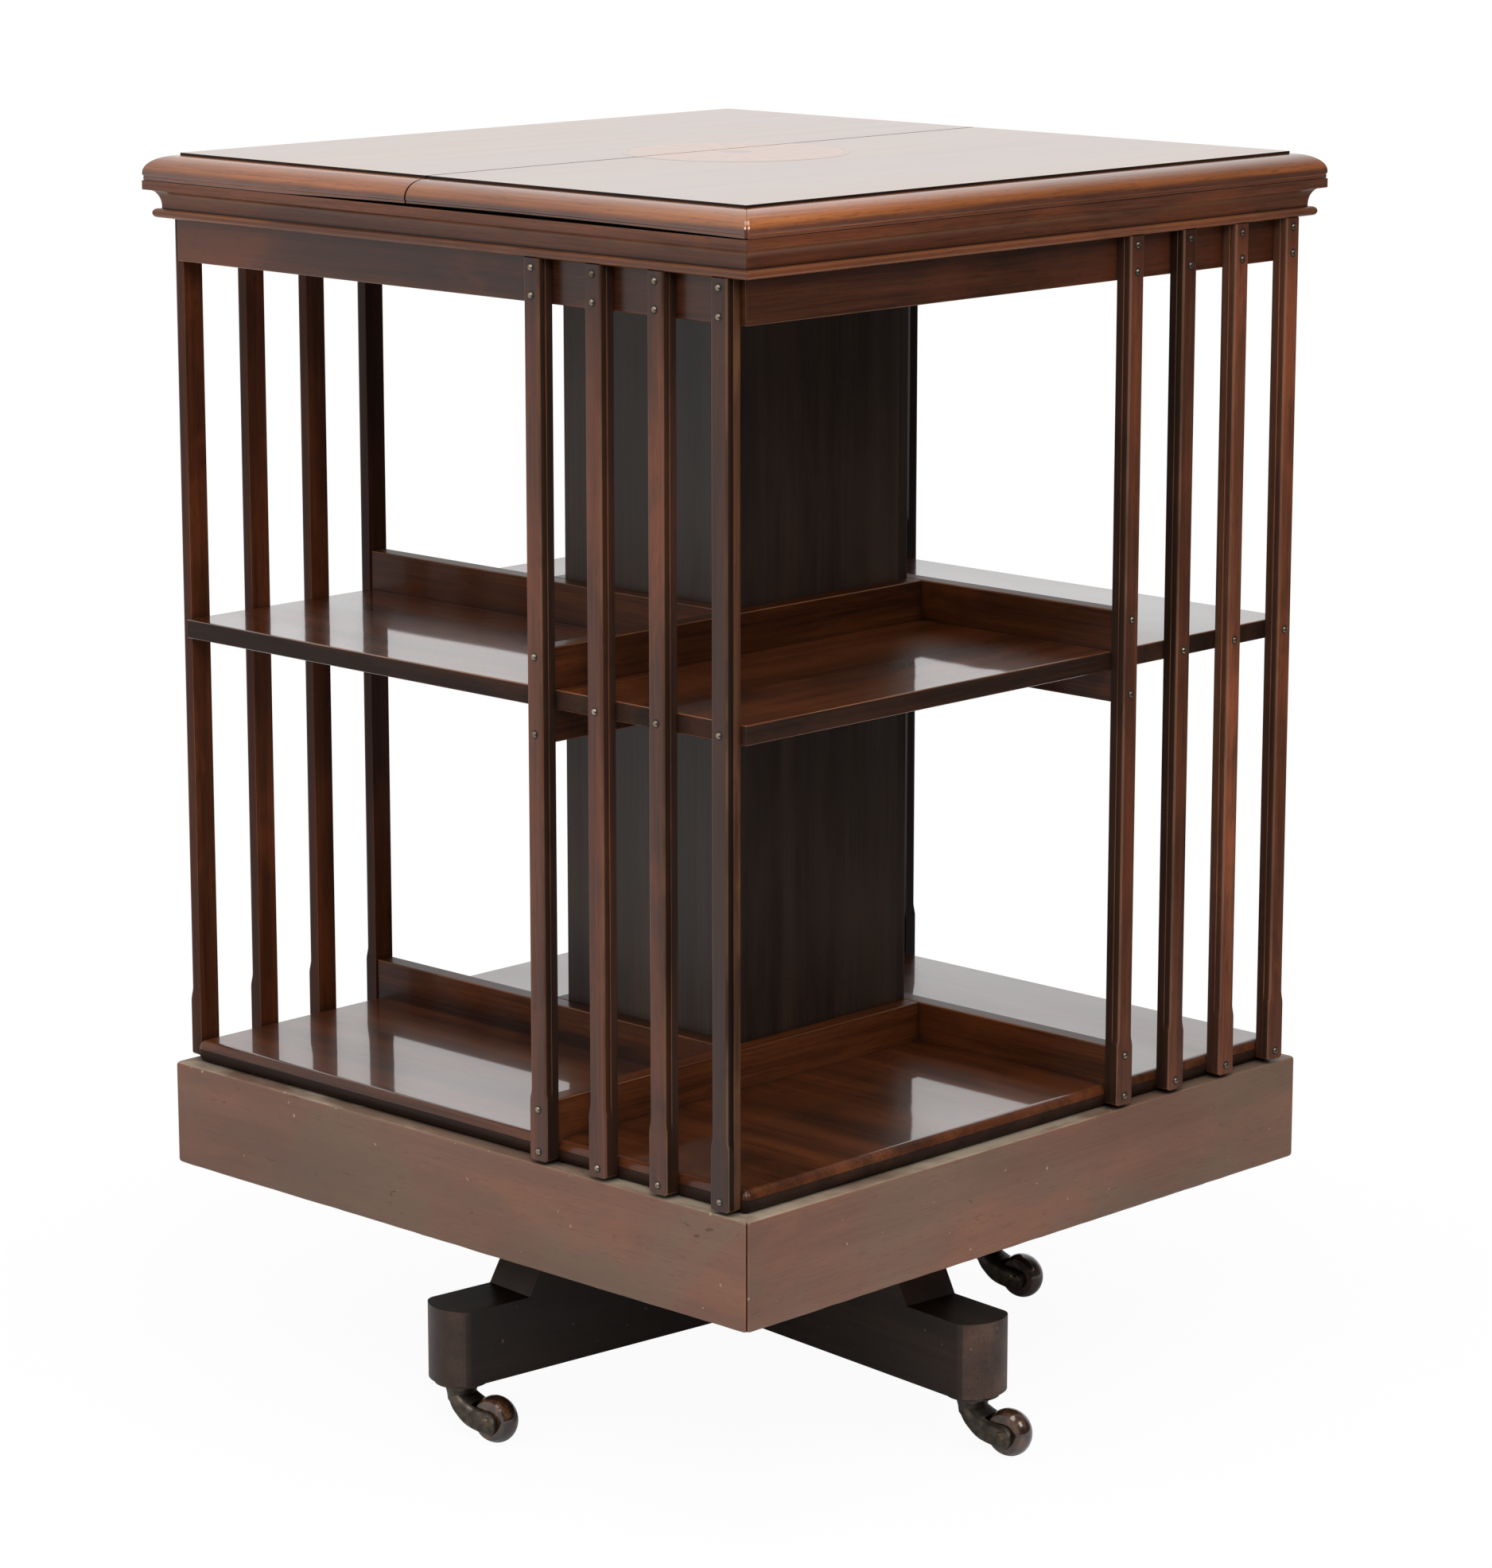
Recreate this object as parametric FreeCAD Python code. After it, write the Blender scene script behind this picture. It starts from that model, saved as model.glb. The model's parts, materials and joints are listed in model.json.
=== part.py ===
import FreeCAD, Part
import math
import os

# Revolving bookcase on a castered cross, millimetres, +Z up.
# Origin: on the floor under the pivot.  The case is aligned with X and Y; -Y is its front.

# ---- case: boards -------------------------------------------------------------------
CASE_WIDTH = 469.0  # outer faces of the bottom board, shelves and frieze
PLINTH_HEIGHT = 63.5
PLINTH_THICK = 18.0
PLINTH_OVERHANG = 10.5  # plinth face beyond the case face
PLINTH_CORNER = 3.6
GLUE_BLOCK = 30.0  # legs of the triangular corner blocks
GLUE_BLOCK_RAISE = 6.0  # lower end of a corner block above the plinth's lower edge
BOTTOM_THICK = 13.7
BOTTOM_NOSING = 3.2
LOWER_TIER = 250.6  # bottom board to mid shelf
SHELF_THICK = 11.5
SHELF_ROUNDING = 1.2
UPPER_TIER = 216.0  # mid shelf to the frieze's lower edge
DIVIDER_THICK = 12.0
STOP_HEIGHT = 24.0  # dividers standing above a shelf
STOP_HOUSING = 3.0  # book stops let into the bottom board
DIVIDER_DROP = 19.0  # dividers hanging below the mid shelf
DIVIDER_ROUNDING = 1.0
COLUMN_WIDTH = 146.0
PANEL_THICK = 8.0
FRIEZE_HEIGHT = 48.7
FRIEZE_THICK = 12.0
CEILING_THICK = 12.0

# ---- cornice moulding and top ---------------------------------------------------------
BAND_PROJECTION = 14.4
BAND_HEIGHT = 5.6
BAND_STEP = 2.4  # underside of the band back to the cove
COVE_HEIGHT = 9.8
COVE_DEPTH = 5.8
BEAD_RADIUS = 2.7
BEAD_PROJECTION = 10.4
BEAD_NECK = 1.3  # fillet between the cove and the bead
TOP_SHADOW_GAP = 0.7  # opening between the moulding and the top boards
TOP_THICK = 15.5
TOP_OVERHANG = 15.0  # top edge beyond the case face
TOP_FILLET_HEIGHT = 4.6
TOP_FILLET_STEP = 0.8
THUMB_WIDTH = 17.0  # field edge to the outermost point
THUMB_QUIRK = 1.6
THUMB_DROP = 8.5
TOP_SPLIT_X = -17.0
TOP_SPLIT_GAP = 0.6
INLAY_RADIUS = 68.0
INLAY_THICK = 0.9

# ---- slats and studs ------------------------------------------------------------------
SLAT_COUNT = 4
SLAT_WIDTH = 14.5
SLAT_THICK = 9.5
SLAT_PITCH = 48.0
SLAT_FOOT_GAP = 2.5  # slat ends above the plinth ledge
SLAT_REBATE_WIDTH = 0.9
SLAT_REBATE_DEPTH = 4.2
SLAT_REBATE_STOP = 34.0  # plain foot below the moulded edge
SLAT_TOE = 1.4
STUD_HEAD_RADIUS = 2.6
STUD_HEAD_HEIGHT = 1.3
STUD_SHANK_RADIUS = 0.9
STUD_SHANK = 16.0
STUD_MARGIN = 5.2

# ---- base cross -----------------------------------------------------------------------
BASE_TURN = -5.5  # degrees, the cross against the case as it stands
ARM_WIDTH = 39.0
ARM_REACH = 224.0  # pivot to the square corners of an arm's end
ARM_BOW = 9.0
ARM_EDGE = 3.0
FOOT_HEIGHT = 46.3
HUB_RISE = 45.8
FOOT_LENGTH = 46.0  # square corner back to the sloped shoulder
SHOULDER_RUN = 26.0
CASE_CLEARANCE = 2.0  # raised middle to the plinth's lower edge

# ---- pivot ----------------------------------------------------------------------------
SPINDLE_RADIUS = 8.0
SPINDLE_SINK = 70.0  # spindle let into the crossed arms
SPINDLE_FIT = 0.05
SPINDLE_CHAMFER = 1.0
FLANGE_RADIUS = 45.0
FLANGE_THICK = 5.0
FLANGE_SCREW_RADIUS = 33.0
BUSH_WALL = 5.0
BUSH_RIM = 6.0
BUSH_RIM_THICK = 2.5
CUP_PLATE_RADIUS = 24.0
CUP_PLATE_THICK = 4.0
CUP_WALL = 5.0
CUP_DEPTH = 14.0
CUP_END_PLAY = 0.2
CUP_SCREW_RADIUS = 18.5

# ---- wood screws ----------------------------------------------------------------------
SCREW_HEAD_RADIUS = 2.6
SCREW_HEAD_HEIGHT = 1.5
SCREW_RADIUS = 1.4
SCREW_LENGTH = 11.0

# ---- casters --------------------------------------------------------------------------
CASTER_INSET = 9.0  # square end of an arm to the caster's stem
CASTER_TRAIL = 27.0
CASTER_HEADING = 5.7  # degrees, the way all four wheels trail
WHEEL_RADIUS = 14.3
WHEEL_WIDTH = 13.4
WHEEL_CROWN = 1.2
WHEEL_SIDE_PLAY = 0.6
WHEEL_CLEARANCE = 1.1
AXLE_RADIUS = 2.0
AXLE_FIT = 0.05
AXLE_HEAD_RADIUS = 3.0
AXLE_HEAD_HEIGHT = 0.9
CHEEK_THICK = 2.8
HORN_HUB_RADIUS = 7.5
HORN_HEAD_RADIUS = 10.2
HORN_HEAD_HEIGHT = 4.0
HORN_RISE = 18.0  # axle to the top of the horn's head
HORN_PLAY = 0.2
STEM_RADIUS = 4.0
STEM_FIT = 0.05
STEM_LENGTH = 20.0
STEM_END_PLAY = 1.0
SOCKET_WALL = 2.0
PLATE_RADIUS = 16.0
PLATE_THICK = 2.2
PLATE_SCREW_RADIUS = 12.3
PLATE_SCREWS = 3

# ---- levels and half sizes ------------------------------------------------------------
CASE = CASE_WIDTH / 2
PLINTH = CASE + PLINTH_OVERHANG
TOP = CASE + TOP_OVERHANG
COLUMN = COLUMN_WIDTH / 2
CASTER_REACH = ARM_REACH - CASTER_INSET
Z_PLATE = WHEEL_RADIUS + HORN_RISE + HORN_PLAY
Z_ARM = Z_PLATE + PLATE_THICK
Z_FOOT = Z_ARM + FOOT_HEIGHT
Z_HUB = Z_FOOT + HUB_RISE
Z_PLINTH = Z_HUB + CASE_CLEARANCE
Z_BOTTOM = Z_PLINTH + PLINTH_HEIGHT
Z_FLOOR1 = Z_BOTTOM + BOTTOM_THICK
Z_SHELF = Z_FLOOR1 + LOWER_TIER
Z_FLOOR2 = Z_SHELF + SHELF_THICK
Z_FRIEZE = Z_FLOOR2 + UPPER_TIER
Z_CASE_TOP = Z_FRIEZE + FRIEZE_HEIGHT
Z_CEILING = Z_CASE_TOP - CEILING_THICK
Z_TOP = Z_CASE_TOP + TOP_THICK
Z_BEAD = Z_CASE_TOP - TOP_SHADOW_GAP - BAND_HEIGHT - COVE_HEIGHT - BEAD_NECK - 2 * BEAD_RADIUS
Z_SLAT = Z_BOTTOM + SLAT_FOOT_GAP
REACH = 2 * TOP
SIDES = ("front", "right", "back", "left")
UP = FreeCAD.Vector(0, 0, 1)

nodes = {}


# ---- shape helpers --------------------------------------------------------------------
def vec(x, y, z):
    return FreeCAD.Vector(x, y, z)


def block(x0, x1, y0, y1, z0, z1):
    return Part.makeBox(x1 - x0, y1 - y0, z1 - z0, vec(x0, y0, z0))


def post(radius, z0, z1, x=0.0, y=0.0):
    return Part.makeCylinder(radius, z1 - z0, vec(x, y, z0))


def turned(shape, degrees):
    copy = shape.copy()
    copy.rotate(vec(0, 0, 0), UP, degrees)
    return copy


def moved(shape, x, y, z=0.0):
    copy = shape.copy()
    copy.translate(vec(x, y, z))
    return copy


def polygon(points):
    return Part.Face(Part.makePolygon(points + [points[0]]))


def fillet_edges(shape, radius, wanted):
    edges = [edge for edge in shape.Edges if wanted(edge)]
    return shape.makeFillet(radius, edges) if edges else shape


def is_upright(edge):
    start, end = edge.Vertexes[0].Point, edge.Vertexes[-1].Point
    return abs(start.z - end.z) > 1 and math.hypot(start.x - end.x, start.y - end.y) < 1e-6


def front_quarter(z0, z1):
    """Triangle from the pivot to the front face: its sides are the mitres."""
    corners = [vec(0, 0, z0), vec(-REACH, -REACH, z0), vec(REACH, -REACH, z0)]
    return polygon(corners).extrude(vec(0, 0, z1 - z0))


def four(build, prefix):
    """The same piece on each of the four sides."""
    piece = build()
    for index, side in enumerate(SIDES):
        nodes[prefix + "_" + side] = turned(piece, 90 * index)


def revolved(profile):
    """Solid of revolution about Z from (radius, z) points."""
    face = polygon([vec(radius, 0, z) for radius, z in profile])
    return face.revolve(vec(0, 0, 0), UP, 360)


# ---- studs ----------------------------------------------------------------------------
def slat_x(index):
    return COLUMN + DIVIDER_THICK / 2 + index * SLAT_PITCH


def stud_spots():
    """(x, z) of the studs on the front face."""
    spots = []
    for index in range(SLAT_COUNT):
        levels = [Z_BEAD - STUD_MARGIN, Z_FRIEZE + STUD_MARGIN, Z_SLAT + STUD_MARGIN]
        if index == 0:
            levels.append(Z_FLOOR2 + STOP_HEIGHT - STUD_MARGIN)
            levels.append(Z_SHELF - DIVIDER_DROP + STUD_MARGIN)
            levels.append(Z_FLOOR1 + STOP_HEIGHT - STUD_MARGIN)
        else:
            levels.append(Z_SHELF + SHELF_THICK / 2)
        spots += [(slat_x(index), level) for level in levels]
    return spots


def stud_holes():
    """Shanks of all studs, used to bore the pieces they hold."""
    face_y = -CASE - SLAT_THICK
    row = [
        Part.makeCylinder(STUD_SHANK_RADIUS, STUD_SHANK, vec(x, face_y, z), vec(0, 1, 0))
        for x, z in stud_spots()
    ]
    every = [turned(hole, 90 * index) for index in range(4) for hole in row]
    return Part.makeCompound(every)


def stud_heads():
    sphere_radius = (STUD_HEAD_RADIUS**2 + STUD_HEAD_HEIGHT**2) / (2 * STUD_HEAD_HEIGHT)
    face_y = -CASE - SLAT_THICK
    studs = []
    for x, z in stud_spots():
        centre = vec(x, face_y - STUD_HEAD_HEIGHT + sphere_radius, z)
        dome = Part.makeSphere(sphere_radius, centre)
        side = 2 * sphere_radius
        outside = block(x - side, x + side, face_y - side, face_y, z - side, z + side)
        shank = Part.makeCylinder(STUD_SHANK_RADIUS, STUD_SHANK, vec(x, face_y, z), vec(0, 1, 0))
        studs.append(dome.common(outside).fuse(shank))
    return studs


HOLES = stud_holes()


def bored(shape):
    return shape.cut(HOLES)


# ---- case boards ----------------------------------------------------------------------
def plinth_board():
    outer = block(-PLINTH, PLINTH, -PLINTH, PLINTH, Z_PLINTH, Z_BOTTOM)
    outer = fillet_edges(outer, PLINTH_CORNER, is_upright)
    inner = PLINTH - PLINTH_THICK
    frame = outer.cut(block(-inner, inner, -inner, inner, Z_PLINTH, Z_BOTTOM))
    return frame.common(front_quarter(Z_PLINTH, Z_BOTTOM))


def glue_blocks():
    inner = PLINTH - PLINTH_THICK
    low = Z_PLINTH + GLUE_BLOCK_RAISE
    corners = [
        vec(-inner, -inner, low),
        vec(-inner + GLUE_BLOCK, -inner, low),
        vec(-inner, -inner + GLUE_BLOCK, low),
    ]
    corner = polygon(corners).extrude(vec(0, 0, Z_BOTTOM - low))
    return Part.makeCompound([turned(corner, 90 * index) for index in range(4)])


def bottom_board():
    board = block(-CASE, CASE, -CASE, CASE, Z_BOTTOM, Z_FLOOR1)
    board = fillet_edges(board, BOTTOM_NOSING, is_upright)
    board = fillet_edges(board, BOTTOM_NOSING, lambda edge: edge.BoundBox.ZMin > Z_FLOOR1 - 0.01)
    board = board.cut(post(bush_radius(), Z_BOTTOM, Z_FLOOR1))
    housing = block(COLUMN, COLUMN + DIVIDER_THICK, -CASE, COLUMN, Z_FLOOR1 - STOP_HOUSING, Z_FLOOR1)
    board = board.cut(Part.makeCompound([turned(housing, 90 * index) for index in range(4)]))
    return bored(board)


def divider(z0, z1):
    """Runs from the front face back past the column's right face."""
    board = block(COLUMN, COLUMN + DIVIDER_THICK, -CASE, COLUMN, z0, z1)
    board = fillet_edges(
        board,
        DIVIDER_ROUNDING,
        lambda edge: edge.BoundBox.ZMin > z1 - 0.01 and edge.BoundBox.YLength > 1,
    )
    return bored(board)


def book_stop():
    return divider(Z_FLOOR1 - STOP_HOUSING, Z_FLOOR1 + STOP_HEIGHT)


def mid_divider():
    return divider(Z_SHELF - DIVIDER_DROP, Z_FLOOR2 + STOP_HEIGHT)


def shelf_board():
    board = block(-CASE, COLUMN, -CASE, -COLUMN - DIVIDER_THICK, Z_SHELF, Z_FLOOR2)
    board = fillet_edges(
        board,
        SHELF_ROUNDING,
        lambda edge: edge.BoundBox.YMax < -CASE + 0.01 and edge.BoundBox.XLength > 1,
    )
    return bored(board)


def column_panel():
    return block(-COLUMN, COLUMN - PANEL_THICK, -COLUMN, -COLUMN + PANEL_THICK, Z_FLOOR1, Z_CEILING)


def frieze_rail():
    inner = CASE - FRIEZE_THICK
    frame = block(-CASE, CASE, -CASE, CASE, Z_FRIEZE, Z_CASE_TOP)
    frame = frame.cut(block(-inner, inner, -inner, inner, Z_FRIEZE, Z_CASE_TOP))
    return bored(frame.common(front_quarter(Z_FRIEZE, Z_CASE_TOP)))


def ceiling_board():
    inner = CASE - FRIEZE_THICK
    board = block(-inner, inner, -inner, inner, Z_CEILING, Z_CASE_TOP)
    return board.cut(Part.makeCompound(cup_screws()))


# ---- cornice and top ------------------------------------------------------------------
def side_run(edges):
    """Closed profile in the (distance, z) plane, run along the front and mitred."""
    face = Part.Face(Part.Wire(edges))
    run = face.extrude(vec(2 * REACH, 0, 0))
    return run.common(front_quarter(face.BoundBox.ZMin - 1, face.BoundBox.ZMax + 1))


def at(distance, z):
    return vec(-REACH, -distance, z)


def line(start, end):
    return Part.LineSegment(start, end).toShape()


def arc(start, middle, end):
    return Part.Arc(start, middle, end).toShape()


def cornice_moulding():
    z_band1 = Z_CASE_TOP - TOP_SHADOW_GAP
    z_band0 = z_band1 - BAND_HEIGHT
    z_cove = z_band0 - COVE_HEIGHT
    z_bead1 = z_cove - BEAD_NECK
    band = CASE + BAND_PROJECTION
    cove1 = band - BAND_STEP
    cove0 = cove1 - COVE_DEPTH
    bead = CASE + BEAD_PROJECTION - BEAD_RADIUS
    cove_mid = at(
        cove1 - COVE_DEPTH * math.sin(math.pi / 4),
        z_cove + COVE_HEIGHT * (math.sin(math.pi / 4)),
    )
    outline = [
        line(at(CASE, Z_BEAD), at(CASE, z_band1)),
        line(at(CASE, z_band1), at(band, z_band1)),
        line(at(band, z_band1), at(band, z_band0)),
        line(at(band, z_band0), at(cove1, z_band0)),
        arc(at(cove1, z_band0), cove_mid, at(cove0, z_cove)),
        line(at(cove0, z_cove), at(cove0, z_bead1)),
        line(at(cove0, z_bead1), at(bead, z_bead1)),
        arc(at(bead, z_bead1), at(bead + BEAD_RADIUS, z_bead1 - BEAD_RADIUS), at(bead, Z_BEAD)),
        line(at(bead, Z_BEAD), at(CASE, Z_BEAD)),
    ]
    return side_run(outline)


def top_slab():
    fillet = TOP - TOP_FILLET_STEP
    z_fillet = Z_CASE_TOP + TOP_FILLET_HEIGHT
    field = TOP - THUMB_WIDTH
    z_thumb1 = Z_TOP - THUMB_QUIRK
    z_thumb0 = z_thumb1 - THUMB_DROP
    thumb_mid = at(
        field + THUMB_WIDTH * math.sin(math.pi / 4),
        z_thumb0 + THUMB_DROP * math.sin(math.pi / 4),
    )
    outline = [
        line(at(0, Z_CASE_TOP), at(0, Z_TOP)),
        line(at(0, Z_TOP), at(field, Z_TOP)),
        line(at(field, Z_TOP), at(field, z_thumb1)),
        arc(at(field, z_thumb1), thumb_mid, at(TOP, z_thumb0)),
        line(at(TOP, z_thumb0), at(fillet, z_fillet)),
        line(at(fillet, z_fillet), at(fillet, Z_CASE_TOP)),
        line(at(fillet, Z_CASE_TOP), at(0, Z_CASE_TOP)),
    ]
    quarter = side_run(outline)
    slab = quarter
    for index in range(1, 4):
        slab = slab.fuse(turned(quarter, 90 * index))
    return slab.removeSplitter()


def top_pieces():
    """Two boards with the round inlay let in across their joint."""
    slab = top_slab()
    disc = post(INLAY_RADIUS, Z_TOP - INLAY_THICK, Z_TOP)
    joint0 = TOP_SPLIT_X - TOP_SPLIT_GAP / 2
    joint1 = TOP_SPLIT_X + TOP_SPLIT_GAP / 2
    left = block(-REACH, joint0, -REACH, REACH, Z_CASE_TOP, Z_TOP)
    right = block(joint1, REACH, -REACH, REACH, Z_CASE_TOP, Z_TOP)
    boards = slab.cut(disc)
    nodes["top_left"] = boards.common(left)
    nodes["top_right"] = boards.common(right)
    nodes["patera_inlay"] = Part.makeCompound([disc.common(left), disc.common(right)])


# ---- slats ----------------------------------------------------------------------------
def slat(x):
    face_y = -CASE - SLAT_THICK
    half = SLAT_WIDTH / 2
    stick = block(x - half, x + half, face_y, -CASE, Z_SLAT, Z_BEAD)
    z_stop = Z_SLAT + SLAT_REBATE_STOP
    for side in (-1, 1):
        outer = x + side * half
        inner = outer - side * SLAT_REBATE_WIDTH
        rebate = polygon(
            [
                vec(inner, face_y, z_stop),
                vec(inner, face_y + SLAT_REBATE_DEPTH, z_stop + 2 * SLAT_REBATE_DEPTH),
                vec(inner, face_y + SLAT_REBATE_DEPTH, Z_BEAD),
                vec(inner, face_y, Z_BEAD),
            ]
        ).extrude(vec(outer - inner, 0, 0))
        toe = polygon(
            [
                vec(outer, face_y, Z_SLAT),
                vec(outer - side * SLAT_TOE, face_y, Z_SLAT),
                vec(outer, face_y, Z_SLAT + SLAT_TOE),
            ]
        ).extrude(vec(0, SLAT_THICK, 0))
        stick = stick.cut(rebate).cut(toe)
    return bored(stick)


def slat_group():
    return Part.makeCompound([slat(slat_x(index)) for index in range(SLAT_COUNT)])


# ---- wood screws ----------------------------------------------------------------------
def screw():
    """Countersunk, head flush with z = 0, pointing down."""
    profile = [
        (0, 0),
        (SCREW_HEAD_RADIUS, 0),
        (SCREW_RADIUS, -SCREW_HEAD_HEIGHT),
        (SCREW_RADIUS, -SCREW_LENGTH + SCREW_RADIUS),
        (0, -SCREW_LENGTH),
    ]
    return revolved(profile)


def screw_up():
    inverted = screw()
    inverted.rotate(vec(0, 0, 0), vec(1, 0, 0), 180)
    return inverted


def cup_screws():
    low = Z_CEILING - CUP_PLATE_THICK
    return [
        turned(moved(screw_up(), CUP_SCREW_RADIUS, 0, low), 45 + 90 * index) for index in range(4)
    ]


def flange_screws():
    high = Z_HUB + FLANGE_THICK
    first = moved(screw(), FLANGE_SCREW_RADIUS, 0, high)
    return [turned(first, BASE_TURN + 90 * index) for index in range(4)]


def plate_screws():
    screws = []
    for index in range(4):
        for turn in range(PLATE_SCREWS):
            angle = math.radians(180 + 360 * turn / PLATE_SCREWS)
            x = CASTER_REACH + PLATE_SCREW_RADIUS * math.cos(angle)
            y = PLATE_SCREW_RADIUS * math.sin(angle)
            screws.append(turned(moved(screw_up(), x, y, Z_PLATE), BASE_TURN + 90 * index))
    return screws


# ---- pivot ----------------------------------------------------------------------------
def bush_radius():
    return SPINDLE_RADIUS + SPINDLE_FIT + BUSH_WALL


def spindle():
    high = Z_CEILING - CUP_PLATE_THICK - CUP_END_PLAY
    low = Z_HUB - SPINDLE_SINK
    rod = post(SPINDLE_RADIUS, low, high)
    return rod.makeChamfer(SPINDLE_CHAMFER, [e for e in rod.Edges if e.BoundBox.ZLength < 1e-6])


def pivot_flange():
    plate = post(FLANGE_RADIUS, Z_HUB, Z_HUB + FLANGE_THICK)
    plate = plate.cut(post(SPINDLE_RADIUS, Z_HUB, Z_HUB + FLANGE_THICK))
    return plate.cut(Part.makeCompound(flange_screws()))


def guide_bush():
    tube = post(bush_radius(), Z_BOTTOM, Z_FLOOR1)
    rim = post(bush_radius() + BUSH_RIM, Z_BOTTOM - BUSH_RIM_THICK, Z_BOTTOM)
    bore = post(SPINDLE_RADIUS + SPINDLE_FIT, Z_BOTTOM - BUSH_RIM_THICK, Z_FLOOR1)
    return tube.fuse(rim).cut(bore).removeSplitter()


def pivot_cup():
    low = Z_CEILING - CUP_PLATE_THICK
    plate = post(CUP_PLATE_RADIUS, low, Z_CEILING)
    outer = SPINDLE_RADIUS + SPINDLE_FIT + CUP_WALL
    wall = post(outer, low - CUP_DEPTH, low)
    bore = post(SPINDLE_RADIUS + SPINDLE_FIT, low - CUP_DEPTH, low)
    return plate.fuse(wall.cut(bore)).removeSplitter().cut(Part.makeCompound(cup_screws()))


# ---- base cross -----------------------------------------------------------------------
def arm_outline():
    """One arm along X: side elevation trimmed to the bowed plan."""
    tip = ARM_REACH + ARM_BOW
    shoulder = ARM_REACH - FOOT_LENGTH
    hub = shoulder - SHOULDER_RUN
    half = ARM_WIDTH / 2
    side = polygon(
        [
            vec(-tip, -half, Z_ARM),
            vec(tip, -half, Z_ARM),
            vec(tip, -half, Z_FOOT),
            vec(shoulder, -half, Z_FOOT),
            vec(hub, -half, Z_HUB),
            vec(-hub, -half, Z_HUB),
            vec(-shoulder, -half, Z_FOOT),
            vec(-tip, -half, Z_FOOT),
        ]
    ).extrude(vec(0, ARM_WIDTH, 0))
    ends = [vec(-ARM_REACH, -half, Z_ARM), vec(ARM_REACH, -half, Z_ARM)]
    ends += [vec(ARM_REACH, half, Z_ARM), vec(-ARM_REACH, half, Z_ARM)]
    plan = Part.Wire(
        [
            line(ends[0], ends[1]),
            arc(ends[1], vec(tip, 0, Z_ARM), ends[2]),
            line(ends[2], ends[3]),
            arc(ends[3], vec(-tip, 0, Z_ARM), ends[0]),
        ]
    )
    prism = Part.Face(plan).extrude(vec(0, 0, Z_HUB - Z_ARM))
    prism = fillet_edges(prism, ARM_EDGE, is_upright)
    return side.common(prism)


def base_arm(lower):
    """Half-lapped at the middle, bored for the spindle, the caster sockets and screws."""
    half = ARM_WIDTH / 2
    middle = (Z_ARM + Z_HUB) / 2
    z0, z1 = (middle, Z_HUB) if lower else (Z_ARM, middle)
    arm = arm_outline().cut(block(-half, half, -half, half, z0, z1))
    arm = turned(arm, BASE_TURN if lower else BASE_TURN + 90)
    arm = arm.cut(post(SPINDLE_RADIUS, Z_HUB - SPINDLE_SINK, Z_HUB))
    sockets = [socket_blank(index) for index in range(4)]
    return arm.cut(Part.makeCompound(sockets + flange_screws() + plate_screws()))


# ---- casters --------------------------------------------------------------------------
def at_caster(shape, index):
    angle = math.radians(BASE_TURN + 90 * index)
    return moved(shape, CASTER_REACH * math.cos(angle), CASTER_REACH * math.sin(angle))


def socket_height():
    return STEM_LENGTH - PLATE_THICK + STEM_END_PLAY


def socket_blank(index):
    radius = STEM_RADIUS + STEM_FIT + SOCKET_WALL
    return at_caster(post(radius, Z_ARM, Z_ARM + socket_height()), index)


def caster_plates():
    screws = Part.makeCompound(plate_screws())
    bore = post(STEM_RADIUS + STEM_FIT, Z_PLATE, Z_ARM + socket_height())
    plates = []
    for index in range(4):
        plate = at_caster(post(PLATE_RADIUS, Z_PLATE, Z_ARM), index)
        plate = plate.fuse(socket_blank(index)).removeSplitter()
        plates.append(plate.cut(at_caster(bore, index)).cut(screws))
    return Part.makeCompound(plates)


def horn_side():
    """Swan neck in side elevation, trailing along +X from the stem."""
    z_head = WHEEL_RADIUS + HORN_RISE - HORN_HEAD_HEIGHT
    head = HORN_HEAD_RADIUS
    low = WHEEL_RADIUS - HORN_HUB_RADIUS
    high = WHEEL_RADIUS + HORN_HUB_RADIUS
    drop = z_head - low
    under = Part.BSplineCurve()
    under.interpolate(
        [
            vec(-head * 0.93, 0, z_head),
            vec(-head * 0.72, 0, z_head - drop * 0.32),
            vec(-head * 0.12, 0, z_head - drop * 0.70),
            vec(CASTER_TRAIL * 0.40, 0, low + drop * 0.06),
            vec(CASTER_TRAIL, 0, low),
        ]
    )
    over = Part.BSplineCurve()
    over.interpolate(
        [
            vec(CASTER_TRAIL, 0, high),
            vec(CASTER_TRAIL * 0.66, 0, high + 0.4),
            vec(CASTER_TRAIL * 0.46, 0, high + (z_head - high) * 0.45),
            vec(head * 0.88, 0, z_head),
        ]
    )
    hub = arc(
        vec(CASTER_TRAIL, 0, low),
        vec(CASTER_TRAIL + HORN_HUB_RADIUS, 0, WHEEL_RADIUS),
        vec(CASTER_TRAIL, 0, high),
    )
    close = line(vec(head * 0.88, 0, z_head), vec(-head * 0.93, 0, z_head))
    return Part.Face(Part.Wire([under.toShape(), hub, over.toShape(), close]))


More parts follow.
